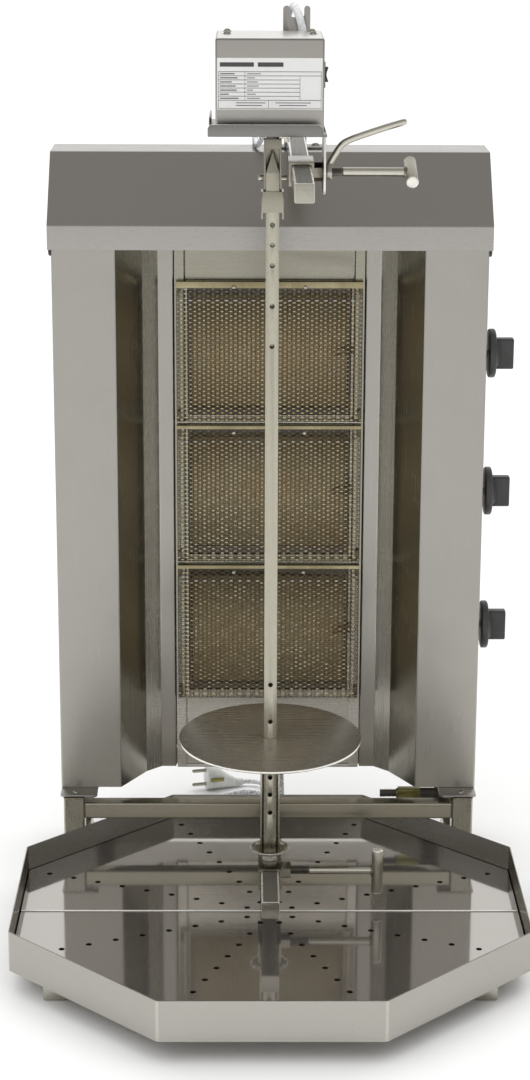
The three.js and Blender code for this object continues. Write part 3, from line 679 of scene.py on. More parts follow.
# ---------------------------------------------------------------- mains cord
CORD = [
    (33, 99.8, 994.3), (33, 99.8, 1003), (32, 100.2, 1013), (29.5, 104, 1024), (26.2, 112, 1032.6), (23, 123, 1036.9),
    (20.5, 136, 1034.6), (18, 150, 1024), (14.5, 165, 1006), (10.5, 183, 978), (5.5, 205, 945), (-1, 231, 913.5), (-7.5, 259, 888.5),
    (-12.5, 288, 873), (-15, 312, 868.6), (-16.5, 334, 870.2), (-17.2, 351, 873.2), (-17.5, 363.5, 869.6), (-17.4, 372, 860.5),
    (-17, 375.4, 847), (-16, 376, 820), (-13, 376, 750), (-8, 376, 640), (-3, 376, 530), (2, 376, 420), (7, 376, 310), (12, 376, 200),
    (16, 376, 110), (18.2, 376.5, 60), (19.2, 379.5, 34), (19.6, 388, 15.5), (18.8, 402, 5.6), (14.5, 420, 3.4), (4.5, 436, 3.3),
    (-9.5, 446.2, 3.3), (-27, 449.5, 3.3), (-44.3, 444.9, 3.3), (-56.9, 432.3, 3.3), (-61.5, 415, 3.3), (-56.9, 397.8, 3.3),
    (-44.3, 385.1, 3.4), (-27, 380.5, 4.4), (-9.8, 385.1, 6.6), (2.9, 397.8, 8.8), (7.5, 415, 9.7), (2.9, 432.3, 9.6), (-9.8, 444.9, 9.6),
    (-27, 449.5, 9.6), (-44.3, 444.9, 9.6), (-56.9, 432.3, 9.6), (-61.5, 415, 9.6), (-57.8, 401, 9.6), (-47.5, 391.5, 9.9),
    (-33, 389, 10.6), (-18, 393, 11.6), (-6.5, 402.5, 12.8), (-0.5, 416, 14.4), (1, 430, 16), (1.5, 443, 15.8), (1.6, 457, 11.6),
    (1.5, 471.8, 7.4), (-0.9, 482.8, 6.2), (-7.8, 491.7, 5.8), (-17.8, 496.9, 5.7), (-26.8, 497.7, 5.7), (-30.4, 497.1, 5.7),
]
line, cord_len = smooth_points(CORD, 470)
cord = tube("mains_cord", line, 3.0, "braid", 14, lambda i, k: 1.0 + 0.035 * math.cos(2 * math.pi * (k / 14 * 4 + i * 0.5)))
sheath = tube("cord_sheath", [p for p in line if p[1] < 127 and p[2] > 1006], 4.2, "sheath", 18)
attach(sheath, "drive_carriage")
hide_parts("cord_run")

# plug: moulded body with finger grooves, ribbed tail and two round pins
plug_m = Matrix.Translation(P(-31.4, 496.9, 0)) @ Matrix.Rotation(R(15), 4, "Z")


def plug_part(name, profile, mat, seg=40):
    """Rings whose lowest points lie on the floor, so that the body's axis drops towards its tail."""
    verts, faces = [], []
    for r, h in profile:
        for i in range(seg):
            a = 2 * math.pi * i / seg
            c, w = math.cos(a), math.sin(a)
            squash = 0.86 if r > 9 else 1.0
            verts.append(plug_m @ Vector((-h / 1000, r * c * squash / 1000, (r * w + max(r, 5.4) + 0.3) / 1000)))
    n = len(profile)
    for i in range(n - 1):
        for j in range(seg):
            q = (j + 1) % seg
            faces.append([i * seg + j, i * seg + q, (i + 1) * seg + q, (i + 1) * seg + j])
    faces.append(list(range(seg))[::-1])
    faces.append([(n - 1) * seg + j for j in range(seg)])
    return make(name, verts, faces, mat, 30)


tail = [(3.3, -1.0), (4.4, -0.6)]
for i in range(4):
    h = i * 2.6
    tail += [(4.6 + i * 0.4, h), (4.6 + i * 0.4, h + 1.5), (4.0 + i * 0.4, h + 1.7), (4.0 + i * 0.4, h + 2.4)]
body_prof = tail + [(6.6, 11.5), (7.4, 14), (9.2, 20), (11.5, 26), (13.6, 31), (15, 36), (15.6, 38), (15.2, 38.8), (15.2, 39.8), (15.9, 40.6), (15.5, 41.6),
                    (15.5, 42.4), (16.6, 43.4), (16.9, 45), (16.9, 48), (16.3, 49.4), (15.2, 50)]
parts_ = [plug_part("plug_body", body_prof, "white")]
for sgn in (-1, 1):
    pin = lathe(f"plug_pin{sgn}", [(0, 0), (2.4, 0), (2.4, 17.2), (2.0, 18.6), (0.9, 19.4), (0, 19.4)], "x", (0, 0, 0), "zinc", 20)
    pin.data.transform(Matrix.Translation((0, -DY / 1000, 0)))
    pin.data.transform(plug_m @ Matrix.Translation((-0.0495, 0, 0.0173 + sgn * 0.0095)) @ Matrix.Rotation(math.pi, 4, "Z"))
    parts_.append(pin)
clip = block("plug_clip", -47, -29, -15.6 - DY, -13.4 - DY, 14.5, 20, "brass", 0.8, 2)
clip.data.transform(Matrix.Translation((0, 0, 0)))
clip.data.transform(plug_m)
parts_.append(clip)
plug = joined("mains_plug", parts_)
place(plug, "plug")
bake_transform(cord)

# ---------------------------------------------------------------- base frame
def corners(r, x0, x1, y0, y1, seg=6):
    out = []
    for cx, cy, a0 in ((x1 - r, y1 - r, 0), (x0 + r, y1 - r, 90), (x0 + r, y0 + r, 180), (x1 - r, y0 + r, 270)):
        out += [(cx + r * math.cos(R(a0 + 90 * k / seg)), cy + r * math.sin(R(a0 + 90 * k / seg))) for k in range(seg + 1)]
    return out


def hollow_bar(cad, mat, axis, box2, lo, hi, wall=1.5, r=2.4):
    """Square tube with rolled corners and open ends."""
    x0, x1, y0, y1 = box2
    outer_ = corners(r, x0, x1, y0, y1)
    inner_ = corners(max(r - wall, 0.5), x0 + wall, x1 - wall, y0 + wall, y1 - wall)
    f = AX[axis]
    n = len(outer_)
    verts = []
    for w in (lo, hi):
        verts += [P(*f(u, v, w)) for u, v in outer_] + [P(*f(u, v, w)) for u, v in inner_]
    faces = []
    for i in range(n):
        j = (i + 1) % n
        faces += [[i, j, 2 * n + j, 2 * n + i], [n + i, 3 * n + i, 3 * n + j, n + j], [i, n + i, n + j, j], [2 * n + i, 2 * n + j, 3 * n + j, 3 * n + i]]
    ob = make(cad + "_tube", verts, faces, mat, 40)
    return ob


for side, s_ in (("left", -1), ("right", 1)):
    x = s_ * 233
    place(hollow_bar(f"base_rail_{side}", "tube_y", "y", (x - 12.5, x + 12.5, 0, 25), -137, 352), f"base_rail_{side}")
    place(hollow_bar(f"upright_front_{side}", "tube_z", "z", (x - 12.5, x + 12.5, 190.5, 215.5), 25.3, 102.7), f"upright_front_{side}")
    dress(f"seat_{side}", "box", 0.5)
for s_ in (-1, 1):
    x = s_ * 233
    rc = prism(f"rail_cap_{'left' if s_ < 0 else 'right'}", corners(2.4, x - 12.5, x + 12.5, 0.05, 24.95), "y", -138.4, -136.9, "zinc")
    bevel(rc, 0.9, 3)
    ride_on(rc, "base_rail_left" if s_ < 0 else "base_rail_right")
dress("rear_stand", "tube_z", 0)
place(hollow_bar("cross_tube", "tube_x", "x", (193, 213, 76, 96), -220.2, 220.2), "cross_tube")
# the bars' top faces are painted dark as shade, and their upper rounded corners carry painted highlights
def bar_faces(ob):
    ob.data.materials.append(M["bar_top"])
    for p in ob.data.polygons:
        if p.normal.z > 0.99:
            p.material_index = 1
    return shine(ob, keep=lambda p: p.normal.z > 0.2)


lb = bar_faces(hollow_bar("lower_bar", "tube_y", "y", (-10, 10, 76, 96), -94, 192.7))
# the end cap's bevelled edges carry painted highlights
lc = prism("lbc", corners(2.4, -10, 10, 76, 96), "y", -95.1, -93.6, "cap")
bevel(lc, 0.9, 3)
shine(lc)
place(joined("lower_bar_tube", [lb, lc]), "lower_bar")
ub = bar_faces(hollow_bar("upper_bar", "tube_y", "y", (19.5, 39.5, 863.5, 883.5), -154, 352))
# the end cap's bevelled edges carry painted highlights
uc = prism("ubc", corners(2.4, 19.5, 39.5, 863.5, 883.5), "y", -155.1, -153.6, "cap")
bevel(uc, 0.9, 3)
shine(uc)
place(joined("upper_bar_tube", [ub, uc]), "upper_bar")


def screw_head(name, at, normal, r=4.0, h=2.4, mat="zinc", body_of="hood", washer=0.0, turn=0.3):
    """Pan-head screw with a cross recess; at is the seat's centre in millimetres."""
    prof = [(0, -0.2), (r, -0.2), (r, h * 0.25), (r * 0.93, h * 0.6), (r * 0.72, h * 0.88), (r * 0.45, h), (0, h * 1.03)]
    ob = lathe(name, prof, "z", (0, -DY, 0), mat, 24)
    s = r * 0.62
    w = r * 0.13
    a = block(name + "a", -s, s, -DY - w, -DY + w, h * 0.45, h * 1.5, mat, 0)
    b = block(name + "b", -w, w, -DY - s, -DY + s, h * 0.45, h * 1.5, mat, 0)
    cut(ob, [a, b])
    if washer:
        wsh = lathe(name + "w", [(0, -0.3), (washer, -0.3), (washer, 0.5), (washer * 0.95, 0.8), (0, 0.8)], "z", (0, -DY, 0), mat, 24)
        ob = joined(name, [ob, wsh])
    q = Vector((0, 0, 1)).rotation_difference(Vector(normal))
    ob.data.transform(Matrix.Translation(P(*at)) @ q.to_matrix().to_4x4() @ Matrix.Rotation(turn, 4, "Z"))
    ob.name = name
    return ride_on(ob, body_of)


def weld(name, pts, r, body_of, mat="weld"):
    """A rippled fillet along points in millimetres."""
    line_, length = smooth_points(pts, max(8, int((Vector(pts[-1]) - Vector(pts[0])).length / 1.1) + 6)) if len(pts) > 2 else (
        [Vector(pts[0]).lerp(Vector(pts[1]), i / 24) for i in range(25)], 0)
    radii = [r * (0.72 + 0.28 * abs(math.sin(i * 1.35))) * (0.6 if i in (0, len(line_) - 1) else 1) for i in range(len(line_))]
    ob = tube(name, line_, radii, mat, 8)
    return ride_on(ob, body_of)


for side, s in (("left", -1), ("right", 1)):
    screw_head(f"seat_screw_{side}", (s * 231.5, 203.5, 106.1), (0, 0, 1), 4.2, 2.2, body_of=f"seat_{side}")
    x = s * 233
    weld(f"upright_weld_front_{side}", [(x - 12, 190.6, 25.3), (x + 12, 190.6, 25.3)], 1.5, f"base_rail_{side}")
    weld(f"upright_weld_back_{side}", [(x - 12, 215.4, 25.3), (x + 12, 215.4, 25.3)], 1.5, f"base_rail_{side}")
    weld(f"rear_weld_{side}", [(x - 12, 325.2, 25.3), (x + 12, 325.2, 25.3)], 1.5, f"base_rail_{side}")
    weld(f"cross_weld_front_{side}", [(s * 220.2, 193.6, 77), (s * 220.2, 193.6, 95)], 1.3, "cross_tube")
    weld(f"cross_weld_top_{side}", [(s * 220.2, 195, 95.6), (s * 220.2, 211, 95.6)], 1.3, "cross_tube")
    weld(f"seat_weld_{side}", [(x - 11, 190.8, 102.7), (x + 11, 190.8, 102.7)], 1.2, f"seat_{side}")
weld("bar_weld_top", [(-9, 192.8, 95.7), (9, 192.8, 95.7)], 1.4, "cross_tube")
for s in (-1, 1):
    weld(f"bar_weld_side_{'l' if s < 0 else 'r'}", [(s * 9.9, 192.8, 78), (s * 9.9, 192.8, 94)], 1.4, "cross_tube")
# ---------------------------------------------------------------- cabinet
SHELL = [(-250, 362), (-250, 220), (-177.6, 220), (-148.8, 273), (-130.7, 291), (-112.7, 291), (-112.7, 300)]
def reflector_faces(ob):
    ob.data.materials.append(M["reflector"])
    ob.data.materials.append(M["facet"])
    for p in ob.data.polygons:
        c = p.center
        if 0.1295 < abs(c.x) < 0.1770 and c.y * 1000 - DY > 221.5:
            p.material_index = 1 if abs(c.x) > 0.149 else 2


left = bent_sheet("side_panel_left", SHELL, 1.2, "z", 106.3, 785, "wing", 2.2, 5)
reflector_faces(left)
place(left, "side_shell_left")
right_path = [(-x, y) for x, y in SHELL]
right_sh = bent_sheet("side_panel_right", right_path, -1.2, "z", 106.3, 785, "wing", 2.2, 5)
KNOB_Z = (303.5, 469, 634.5)
cut(right_sh, [lathe(f"c{i}", [(0, -6), (6, -6), (6, 6), (0, 6)], "x", (249.5, 252, z), "wing", 32) for i, z in enumerate(KNOB_Z)])
reflector_faces(right_sh)
place(right_sh, "side_shell_right")
dress("burner_panel", "panel", 0)
dress("cabinet_floor", "box", 0)
dress("back_cover", "back", 0)
# a dark sheet hangs inside each row of louvre slots as painted shade, so that no daylight shows through the cabinet
for s_ in (-1, 1):
    ride_on(block(f"louvre_painted_shade_{'l' if s_ < 0 else 'r'}", s_ * 120 - 63, s_ * 120 + 63, 355, 356.2, 633, 743, "dark", 0.3), "back_cover")

# hood: folded cap with mitred ends
hood_path = [(217.0, 759.5), (217.0, 787), (288, 863), (364, 863), (364, 759.5)]
hood = bent_sheet("hood_cap", hood_path, -1.2, "x", -254, 254, "hood", 2.6, 6)
ends = []
for s in (-1, 1):
    prof = round_path([hood_path[0]] + hood_path[1:], 2.6, 6)
    inner = offset(prof, -0.6)
    ends.append(prism(f"hood_end{s}", inner, "x", s * 254 - (1.2 if s > 0 else 0), s * 254 + (1.2 if s < 0 else 0), "wing"))
# the sloping front faces take the paler copy: painted light on the slope
hood.data.materials.append(M["slope"])
for p in hood.data.polygons:
    if p.normal.y < -0.5 and 0.4 < p.normal.z < 0.9:
        p.material_index = 1
hood = joined("hood_cap", [hood] + ends)
place(hood, "hood")

for s_ in (-1, 1):
    cap = lathe(f"hood_plug{s_}", [(0, 0), (4.6, 0), (4.8, 0.8), (4.2, 2.6), (2.6, 3.4), (0, 3.5)], "x", (0, 0, 0), "black", 24)
    cap.data.transform(Matrix.Translation(P(0, 0, 0)).inverted())
    cap.data.transform(Matrix.Translation(P(s_ * 250, 226, 756)) @ Matrix.Rotation(0 if s_ > 0 else math.pi, 4, "Z"))
    ride_on(cap, "hood")
hem = bent_sheet("floor_hem", [(298.5, 107.0), (296.0, 107.0), (296.0, 103.2)], 0.8, "x", -111.5, 111.5, "panel", 0.8, 3)
ride_on(hem, "cabinet_floor")

# expanded mesh guards, each a shallow pan with a plain strip along its top
BURNER_Z = (282.5, 455.3, 628.1)
HALF_W, HALF_H = 109.5, 85.0
CW, CH = 10.6, 5.3


def expanded(name, x0, x1, z0, z1, bend_z, seed):
    """Expanded metal in a shallow pan: thin strands that lean back, joined by broad flat knuckles."""
    rnd = random.Random(seed)
    verts, faces = [], []

    def depth(x, z):
        edge = min(abs(x - x0), abs(x - x1))
        d = 286.4 - (2.0 * max(0.0, 1 - abs(edge - 9.2) / 4.0))
        if z > bend_z:
            d = 284.7
        if z - z0 < 7:
            d = min(d, 284.9)
        return d

    def hexa(p, q, w, t):
        base = len(verts)
        for c in (p, q):
            for sw, st in ((-1, -1), (1, -1), (1, 1), (-1, 1)):
                verts.append(P(*(c + w * sw + t * st)))
        b = base
        faces.extend([[b, b + 1, b + 2, b + 3], [b + 7, b + 6, b + 5, b + 4], [b, b + 4, b + 5, b + 1], [b + 1, b + 5, b + 6, b + 2],
                      [b + 2, b + 6, b + 7, b + 3], [b + 3, b + 7, b + 4, b]])

    dashes = []
    fold = round((bend_z - z0) / (CH / 2))
    rows = int((z1 - z0) / (CH / 2))
    cols = int((x1 - x0) / (CW / 2))
    for r in range(rows + 1):
        for c in range(cols + 1):
            if (r + c) % 2:
                continue
            x, z = x0 + c * CW / 2 + rnd.uniform(-0.12, 0.12), z0 + r * CH / 2
            y = depth(x, z)
            edge = min(x - x0, x1 - x)
            big = abs(z - bend_z) < CH * 0.42 or abs(edge - 9.2) < 1.6 or abs(z - z0 - 6.5) < CH * 0.25
            hx, hz = (1.9, 0.72) if big else (1.35 + rnd.uniform(-0.15, 0.15), 0.60)
            lean = -0.24 if big else (0.5 if z > bend_z else rnd.choice((-0.10, 0.05, 0.18)))
            dash = r == fold and 9 < edge
            if dash:
                hx, hz, lean = 2.1, 0.55, -0.2
                dashes.append(len(faces))
            w = Vector((0, -lean * hz, hz))
            hexa(Vector((max(x - hx, x0), y, z)), Vector((min(x + hx, x1), y, z)), w, Vector((0, 0.3, 0)))
            for dr in (-1, 1):
                x2, z2 = x + CW / 2, z + dr * CH / 2
                if x2 > x1 + 0.01 or z2 > z1 + 0.01 or z2 < z0 - 0.01:
                    continue
                hexa(Vector((x + 0.9, y + 0.25, z)), Vector((x2 - 0.9, depth(x2, z2) + 0.25, z2)), Vector((0, 0.42, 0.36)), Vector((0, -0.16, 0.16)))
    ob = make(name, verts, faces, "wire", 40)
    ob.data.materials.append(M["knuckle"])
    for first in dashes:
        for k in range(first, first + 6):
            ob.data.polygons[k].material_index = 1
    return ob


for i, zc in enumerate(BURNER_Z):
    z0, z1 = zc - HALF_H, zc + HALF_H
    sh = 8.4 if i == 2 else 4.8
    zt = z1 - sh
    parts_ = [expanded(f"mesh{i}", -HALF_W + 0.6, HALF_W - 0.6, z0 + 1.0, zt, zt - 15.5, 5 + i)]
    parts_.append(bent_sheet(f"strip{i}", [(292.0, z1 - 0.2), (284.2, z1 - 0.2), (284.2, zt)], 0.8, "x", -HALF_W, HALF_W, "strip", 1.2, 3))
    for s in (-1, 1):
        parts_.append(bent_sheet(f"edge{i}{s}", [(s * HALF_W, 292.6), (s * HALF_W, 284.9), (s * (HALF_W - 0.9), 284.9)], 0.6 * s * -1, "z",
                                 z0, zt, "dark", 0.5, 3))
    parts_.append(bent_sheet(f"low{i}", [(284.4, z0 + 1.3), (284.4, z0), (292.6, z0)], 0.6, "x", -HALF_W + 0.3, HALF_W - 0.3, "zinc", 0.6, 3))
    for s in (-1, 1):
        for t in (-1, 1):
            parts_.append(block(f"lug{i}{s}{t}", s * 106.5 - 2, s * 106.5 + 2, 285.2, 292.9, zc + t * 76 - 5, zc + t * 76 + 5, "dark", 0.3))
    guard = joined(f"burner_guard_{i + 1}", parts_)
    place(guard, f"mesh_guard_{i + 1}")
    for s in (-1, 1):
        screw_head(f"guard_screw_{i + 1}_{'l' if s < 0 else 'r'}", (s * 42, 284.2, z1 - (7.5 if i == 2 else 9.5)), (0, -1, 0), 2.4, 1.6, body_of="burner_panel", turn=0.4 * s)
    # spark electrode and its rod, seen through the mesh at the right
    zi = (463, 288, 633)[0 if i == 1 else (1 if i == 0 else 2)]
    rod1 = tube(f"electrode_{i + 1}", [(100, 291, zi), (88, 290.4, zi), (80, 289.6, zi - 0.6), (76, 288.8, zi - 3)], [1.3, 1.2, 0.9, 0.7], "dark", 10)
    ride_on(rod1, "burner_panel")
    rod2 = tube(f"flame_sensor_{i + 1}", [(100, 291, zi - 7), (84, 290.2, zi - 7), (77, 289.4, zi - 9)], [1.0, 0.9, 0.7], "dark", 10)
    ride_on(rod2, "burner_panel")

for i in (1, 2, 3):
    dress(f"burner_body_{i}", "cast", 0)
    # ceramic tile carried in the body's mouth, with a moulded rim
    zc = BURNER_Z[i - 1]
    tile = block(f"tile_{i}", -92.6, 92.6, 299, 310.7, zc - 67.6, zc + 67.6, "ceramic", 0.8)
    place(tile, f"ceramic_{i}")
    dress(f"valve_stem_{i}", "zinc", 0.2)

# ---------------------------------------------------------------- gas line and knobs
dress("gas_manifold", "cast", 0)
fit = [block("brass_block", 159, 186, 243.5, 256.5, 80.5, 93.5, "brass", 0.7, 2),
       thread_x("brass_thread", 137, 158.8, 250, 87, 5.0, 1.6, 0.8, "thread", 24),
       lathe("brass_collar", [(0, 0), (6.2, 0), (6.2, 1.6), (5.4, 2.2), (0, 2.2)], "x", (157.0, 250, 87), "brass", 24)]
place(joined("gas_inlet", fit), "inlet_fitting")


def knob(i, z):
    y = 252
    skirt = lathe(f"k{i}", [(0, 0), (27.2, 0), (28.1, 0.5), (28.5, 1.6), (28.5, 6.0), (28.1, 7.0), (27.0, 7.8), (25.8, 8.2), (17.5, 8.8), (16.6, 9.6),
                            (15.9, 11.8), (14.5, 12.6), (0, 12.6)], "x", (254.5, y, z), "black", 64, 30)
    grip = prism(f"g{i}", [(y - 7.2, z - 16), (y - 5.6, z - 18), (y + 5.6, z - 18), (y + 7.2, z - 16), (y + 7.2, z + 16), (y + 5.6, z + 18),
                           (y - 5.6, z + 18), (y - 7.2, z + 16)], "x", 262, 284, "black")
    bevel(grip, 1.6, 3, 40)
    notch = block(f"n{i}", 283.3, 284.15, y - 0.7, y + 0.7, z + 5, z + 16.4, "paper", 0.1, 1)
    for piece in (skirt, grip):
        cut(piece, [lathe(f"kb{i}", [(0, -2), (4.2, -2), (4.2, 15.5), (0, 15.5)], "x", (254.5, y, z), "black", 32)])
    parts = [skirt, grip, notch]
    for k in range(12):
        a = 2 * math.pi * (k + 0.5) / 12
        parts.append(block(f"r{i}{k}", 262.2, 262.9, y + 22 * math.cos(a) - 0.5, y + 22 * math.cos(a) + 0.5,
                           z + 22 * math.sin(a) - 0.5, z + 22 * math.sin(a) + 0.5, "black", 0.15, 1))
    return place(joined(f"control_knob_{i}", parts), f"knob_{i}")


for i, z in enumerate(KNOB_Z):
    knob(i + 1, z)

# ---------------------------------------------------------------- upper bar and drive carriage
dress("bar_bracket", "box", 0.6)
for s in (-1, 1):
    screw_head(f"strap_screw_{'l' if s < 0 else 'r'}", (29.5 + s * 24, 330, 865.9), (0, 0, 1), 4.2, 2.8, body_of="bar_bracket", washer=5.5)
# the sleeve's rounded corners carry painted highlights
shine(dress("upper_sleeve", "sleeve", 1.25, 4), keep=lambda p: p.center.x < 0.042)
sf = [block("sf", -66.5, 54.8, -43.5, 115, 916, 918, "shelf", 0.3, 2),
      prism("sl", [(-67, 916)] + [(-67 + 5 - 5 * math.cos(R(15 * k)), 923.5 + 5 * math.sin(R(15 * k))) for k in range(7)]
            + [(45 + 5 * math.sin(R(15 * k)), 923.5 + 5 * math.cos(R(15 * k))) for k in range(7)] + [(50, 916)], "y", -44, -42, "shelf"),
      prism("su", [(10, 916), (10, 922)] + [(18 - 8 * math.cos(R(15 * k)), 922 + 8 * math.sin(R(15 * k))) for k in range(7)]
            + [(88 + 8 * math.sin(R(15 * k)), 922 + 8 * math.cos(R(15 * k))) for k in range(7)] + [(96, 916)], "x", -66.5, -64.5, "shelf"),
      prism("sp", [(-13, 918), (-13, 857), (-9, 853), (43, 853), (47, 857), (47, 918)], "x", 52.3, 54.8, "shelf")]
# the lip's upper faces and the side plate's front edge carry painted highlights
for o_ in sf[1:]:
    bevel(o_, 0.6, 3, 40)
    o_.data.materials.append(M["shine"])
for p in sf[1].data.polygons:
    if p.normal.z > 0.3:
        p.material_index = 1
for p in sf[3].data.polygons:
    if p.normal.y < -0.3:
        p.material_index = 1
cut(sf[0], [lathe("sc", [(0, -6), (11, -6), (11, 6), (0, 6)], "z", (0, 17, 917), "shelf", 40)])
cut(sf[3], [lathe("sd", [(0, -6), (5.7, -6), (5.7, 6), (0, 6)], "x", (53.5, 17, 873.5), "shelf", 40)])
place(joined("shelf_plate", sf), "motor_shelf")
bolt = lathe("shelf_bolt", [(0, -7.5), (2.2, -7.5), (2.4, -6.8), (2.4, -4), (4.6, -4), (5.0, -3.4), (5.0, -0.6), (4.6, 0), (0, 0)], "z", (14, -20, 915.8), "bright", 18)
ride_on(bolt, "motor_shelf")
box_ = prism("b", [(-59.3, -28), (51.9, -28), (51.9, 90), (-59.3, 90)], "z", 918.3, 1013.5, "box")
bevel(box_, 2.6, 5, 30)
cut(box_, [block("bc", -58.1, 50.7, -26.8, 88.8, 910, 1012.3, "box", 1.4, 2), block("bs", 45, 60, 9.4, 24.6, 962, 986, "box", 0)])
box_.name = "motor_cover"
# the box's top face takes a much paler copy of the box sheet: painted light on the top
box_.data.materials.append(M["box_top"])
for p in box_.data.polygons:
    if p.normal.z > 0.96 and p.center.z > 1.0128:
        p.material_index = 1
place(box_, "motor_box")
for sx in (-47.8, 41.6):
    for sy in (36, 74):
        screw_head(f"cover_screw_{int(sx)}_{sy}", (sx, sy, 1013.4), (0, 0, 1), 3.6, 3.0, body_of="motor_box", washer=4.6, turn=0.5 + sy)
dress("gearmotor", "cast", 0)
def arc_(cx, cz, r, a0, a1, n=6):
    return [(cx + r * math.cos(R(a0 + (a1 - a0) * k / n)), cz + r * math.sin(R(a0 + (a1 - a0) * k / n))) for k in range(n + 1)]


gd = prism("gd", [(11.5, 918.3)] + arc_(15.0, 1034.5, 3.5, 180, 90) + arc_(15.7, 1035.2, 2.8, 90, 0) + arc_(21.5, 1029, 3.0, 180, 270)
           + arc_(31, 1029, 3.0, 270, 360) + arc_(37.25, 1034.7, 3.25, 180, 0, 10) + [(40.5, 918.3)], "y", 112, 113.8, "box")
bevel(gd, 0.35, 2, 40)
gf = block("gf", 11.5, 40.5, 99, 112.6, 918.3, 920.3, "box", 0.4, 2)
place(joined("cord_guide_plate", [gd, gf]), "cord_guide")

# rating label: blank ruled table, no lettering
lab = [block("lp", -57.5, 49.8, -28.45, -28.02, 942, 994, "paper", 0.12, 1)]
X0, X1, ZT, ZB = -56.2, 48.6, 980.2, 943.2


def ink(x0, x1, z0, z1):
    lab.append(block(f"ink{len(lab)}", x0, x1, -28.62, -28.40, z0, z1, "ink", 0))


rows_ = [ZT - i * (ZT - 951.5) / 7 for i in range(8)]
for i, z in enumerate(rows_):
    ink(X0, X1 if i < 2 or i == 7 else 27.0, z - 0.24, z + 0.24)
ink(X0, X1, ZB - 0.16, ZB + 0.16)
for x in (X0, X1):
    ink(x - 0.16, x + 0.16, ZB, ZT)
ink(-29.3, -29.0, 951.5, ZT)
ink(-5.3, -5.0, ZB, 951.5)
ink(26.8, 27.1, 951.5, rows_[1])
for i in range(7):
    zc = (rows_[i] + rows_[i + 1]) / 2
    ink(-54.6, -54.6 + (15, 18, 12, 16, 17, 9, 19)[i], zc - 0.55, zc + 0.45)
    ink(-27.0, -27.0 + (14, 8, 11, 12, 6, 9, 13)[i], zc - 0.35, zc + 0.35)
ink(-54.6, -20, 985.2, 989.6)
ink(-16, 10, 985.2, 989.6)
ink(-38, -8, 948.6, 949.3)
ink(-38, -12, 946.0, 946.7)
ink(2, 38, 948.6, 949.3)
ink(6, 34, 946.0, 946.7)
place(joined("rating_label", lab), body="drive_carriage")

hs = bpy.data.objects["switch_housing"]
dress("switch_housing", "black", 0.5, 2)
rk = prism("rk", [(49, 967.5), (56.6, 966.2), (57.2, 967.0), (55.6, 971.5), (55.2, 974), (55.6, 976.5), (57.2, 981.0), (56.6, 981.8), (49, 980.5)],
           "y", 12.4, 21.6, "black")
bevel(rk, 0.5, 2, 30)
mark = block("rm", 55.4, 56.2, 16.2, 17.8, 968.6, 971.2, "paper", 0.1, 1)
place(joined("rocker_key", [rk, mark]), "rocker")

# gland: tapered, ribbed strain relief out of a moulded elbow on the cover's back
gl = [block("ga", 26.2, 39.8, 90.3, 106.4, 970.2, 987.8, "black", 2.2, 4)]
prof = [(0, 0), (6.0, 0)]
for i in range(6):
    r0 = 5.9 - i * 0.36
    prof += [(r0, 0.8 + i * 3.6), (r0, 2.9 + i * 3.6), (r0 - 0.9, 3.2 + i * 3.6), (r0 - 0.9, 4.1 + i * 3.6)]
prof += [(3.5, 23.5), (3.2, 24.2), (0, 24.2)]
gl.append(lathe("gb", prof, "z", (33, 99.8, 986.5), "black", 24))
place(joined("cord_gland_moulding", gl), "cord_gland")


def t_screw(name, x0, x1, y, z, thread_from, thread_to, cad):
    """Clamp screw: plain dog point, thread and turned shank; the weld at the handle comes with handle()."""
    parts = [lathe(name + "p", [(0, 0), (3.4, 0), (3.9, 0.5), (3.9, thread_from - x0), (0, thread_from - x0)], "x", (x0, y, z), "thread", 28),
             thread_x(name + "t", thread_from, thread_to, y, z, 4.9, 1.5, 0.75, "thread"),
             lathe(name + "s", [(0, 0), (3.8, 0), (4.7, 0.9), (4.7, x1 - thread_to), (0, x1 - thread_to)], "x", (thread_to, y, z), "bright", 32)]
    return place(joined(name, parts), cad)


t_screw("carriage_clamp_screw", 40, 138.2, 17, 873.5, 42, 73, "upper_screw")
t_screw("spit_clamp_screw", 10.6, 115.2, 16, 86, 12, 44, "lower_screw")


def handle(name, centre, half, tilt, cad):
    bar = lathe(name, [(0, -half), (4.6, -half), (5.9, -half + 0.7), (6.5, -half + 1.9), (6.5, half - 1.9), (5.9, half - 0.7), (4.6, half), (0, half)],
                "z", (0, -DY, 0), "tbar", 32)
    bead = lathe(name + "w", [(5.2, -7.6), (6.3, -7.2), (6.7, -6.4), (6.2, -5.4), (5.0, -4.6)], "x", (0, -DY, 0), "weld", 20)
    bead.data.transform(Matrix.Rotation(-tilt, 4, "X"))
    # the handle's ends and their chamfers carry painted highlights
    bar.data.materials.append(M["shine"])
    for p in bar.data.polygons:
        if abs(p.normal.z) > 0.25:
            p.material_index = 1
    ob = joined(name, [bar, bead])
    ob.data.transform(Matrix.Translation(P(*centre)) @ Matrix.Rotation(tilt, 4, "X"))
    return place(ob, cad)


handle("carriage_clamp_handle", (144.8, 17, 873.5), 28, R(-73), "upper_tbar")
handle("spit_clamp_handle", (121.8, 16, 85), 26.5, 0, "lower_tbar")

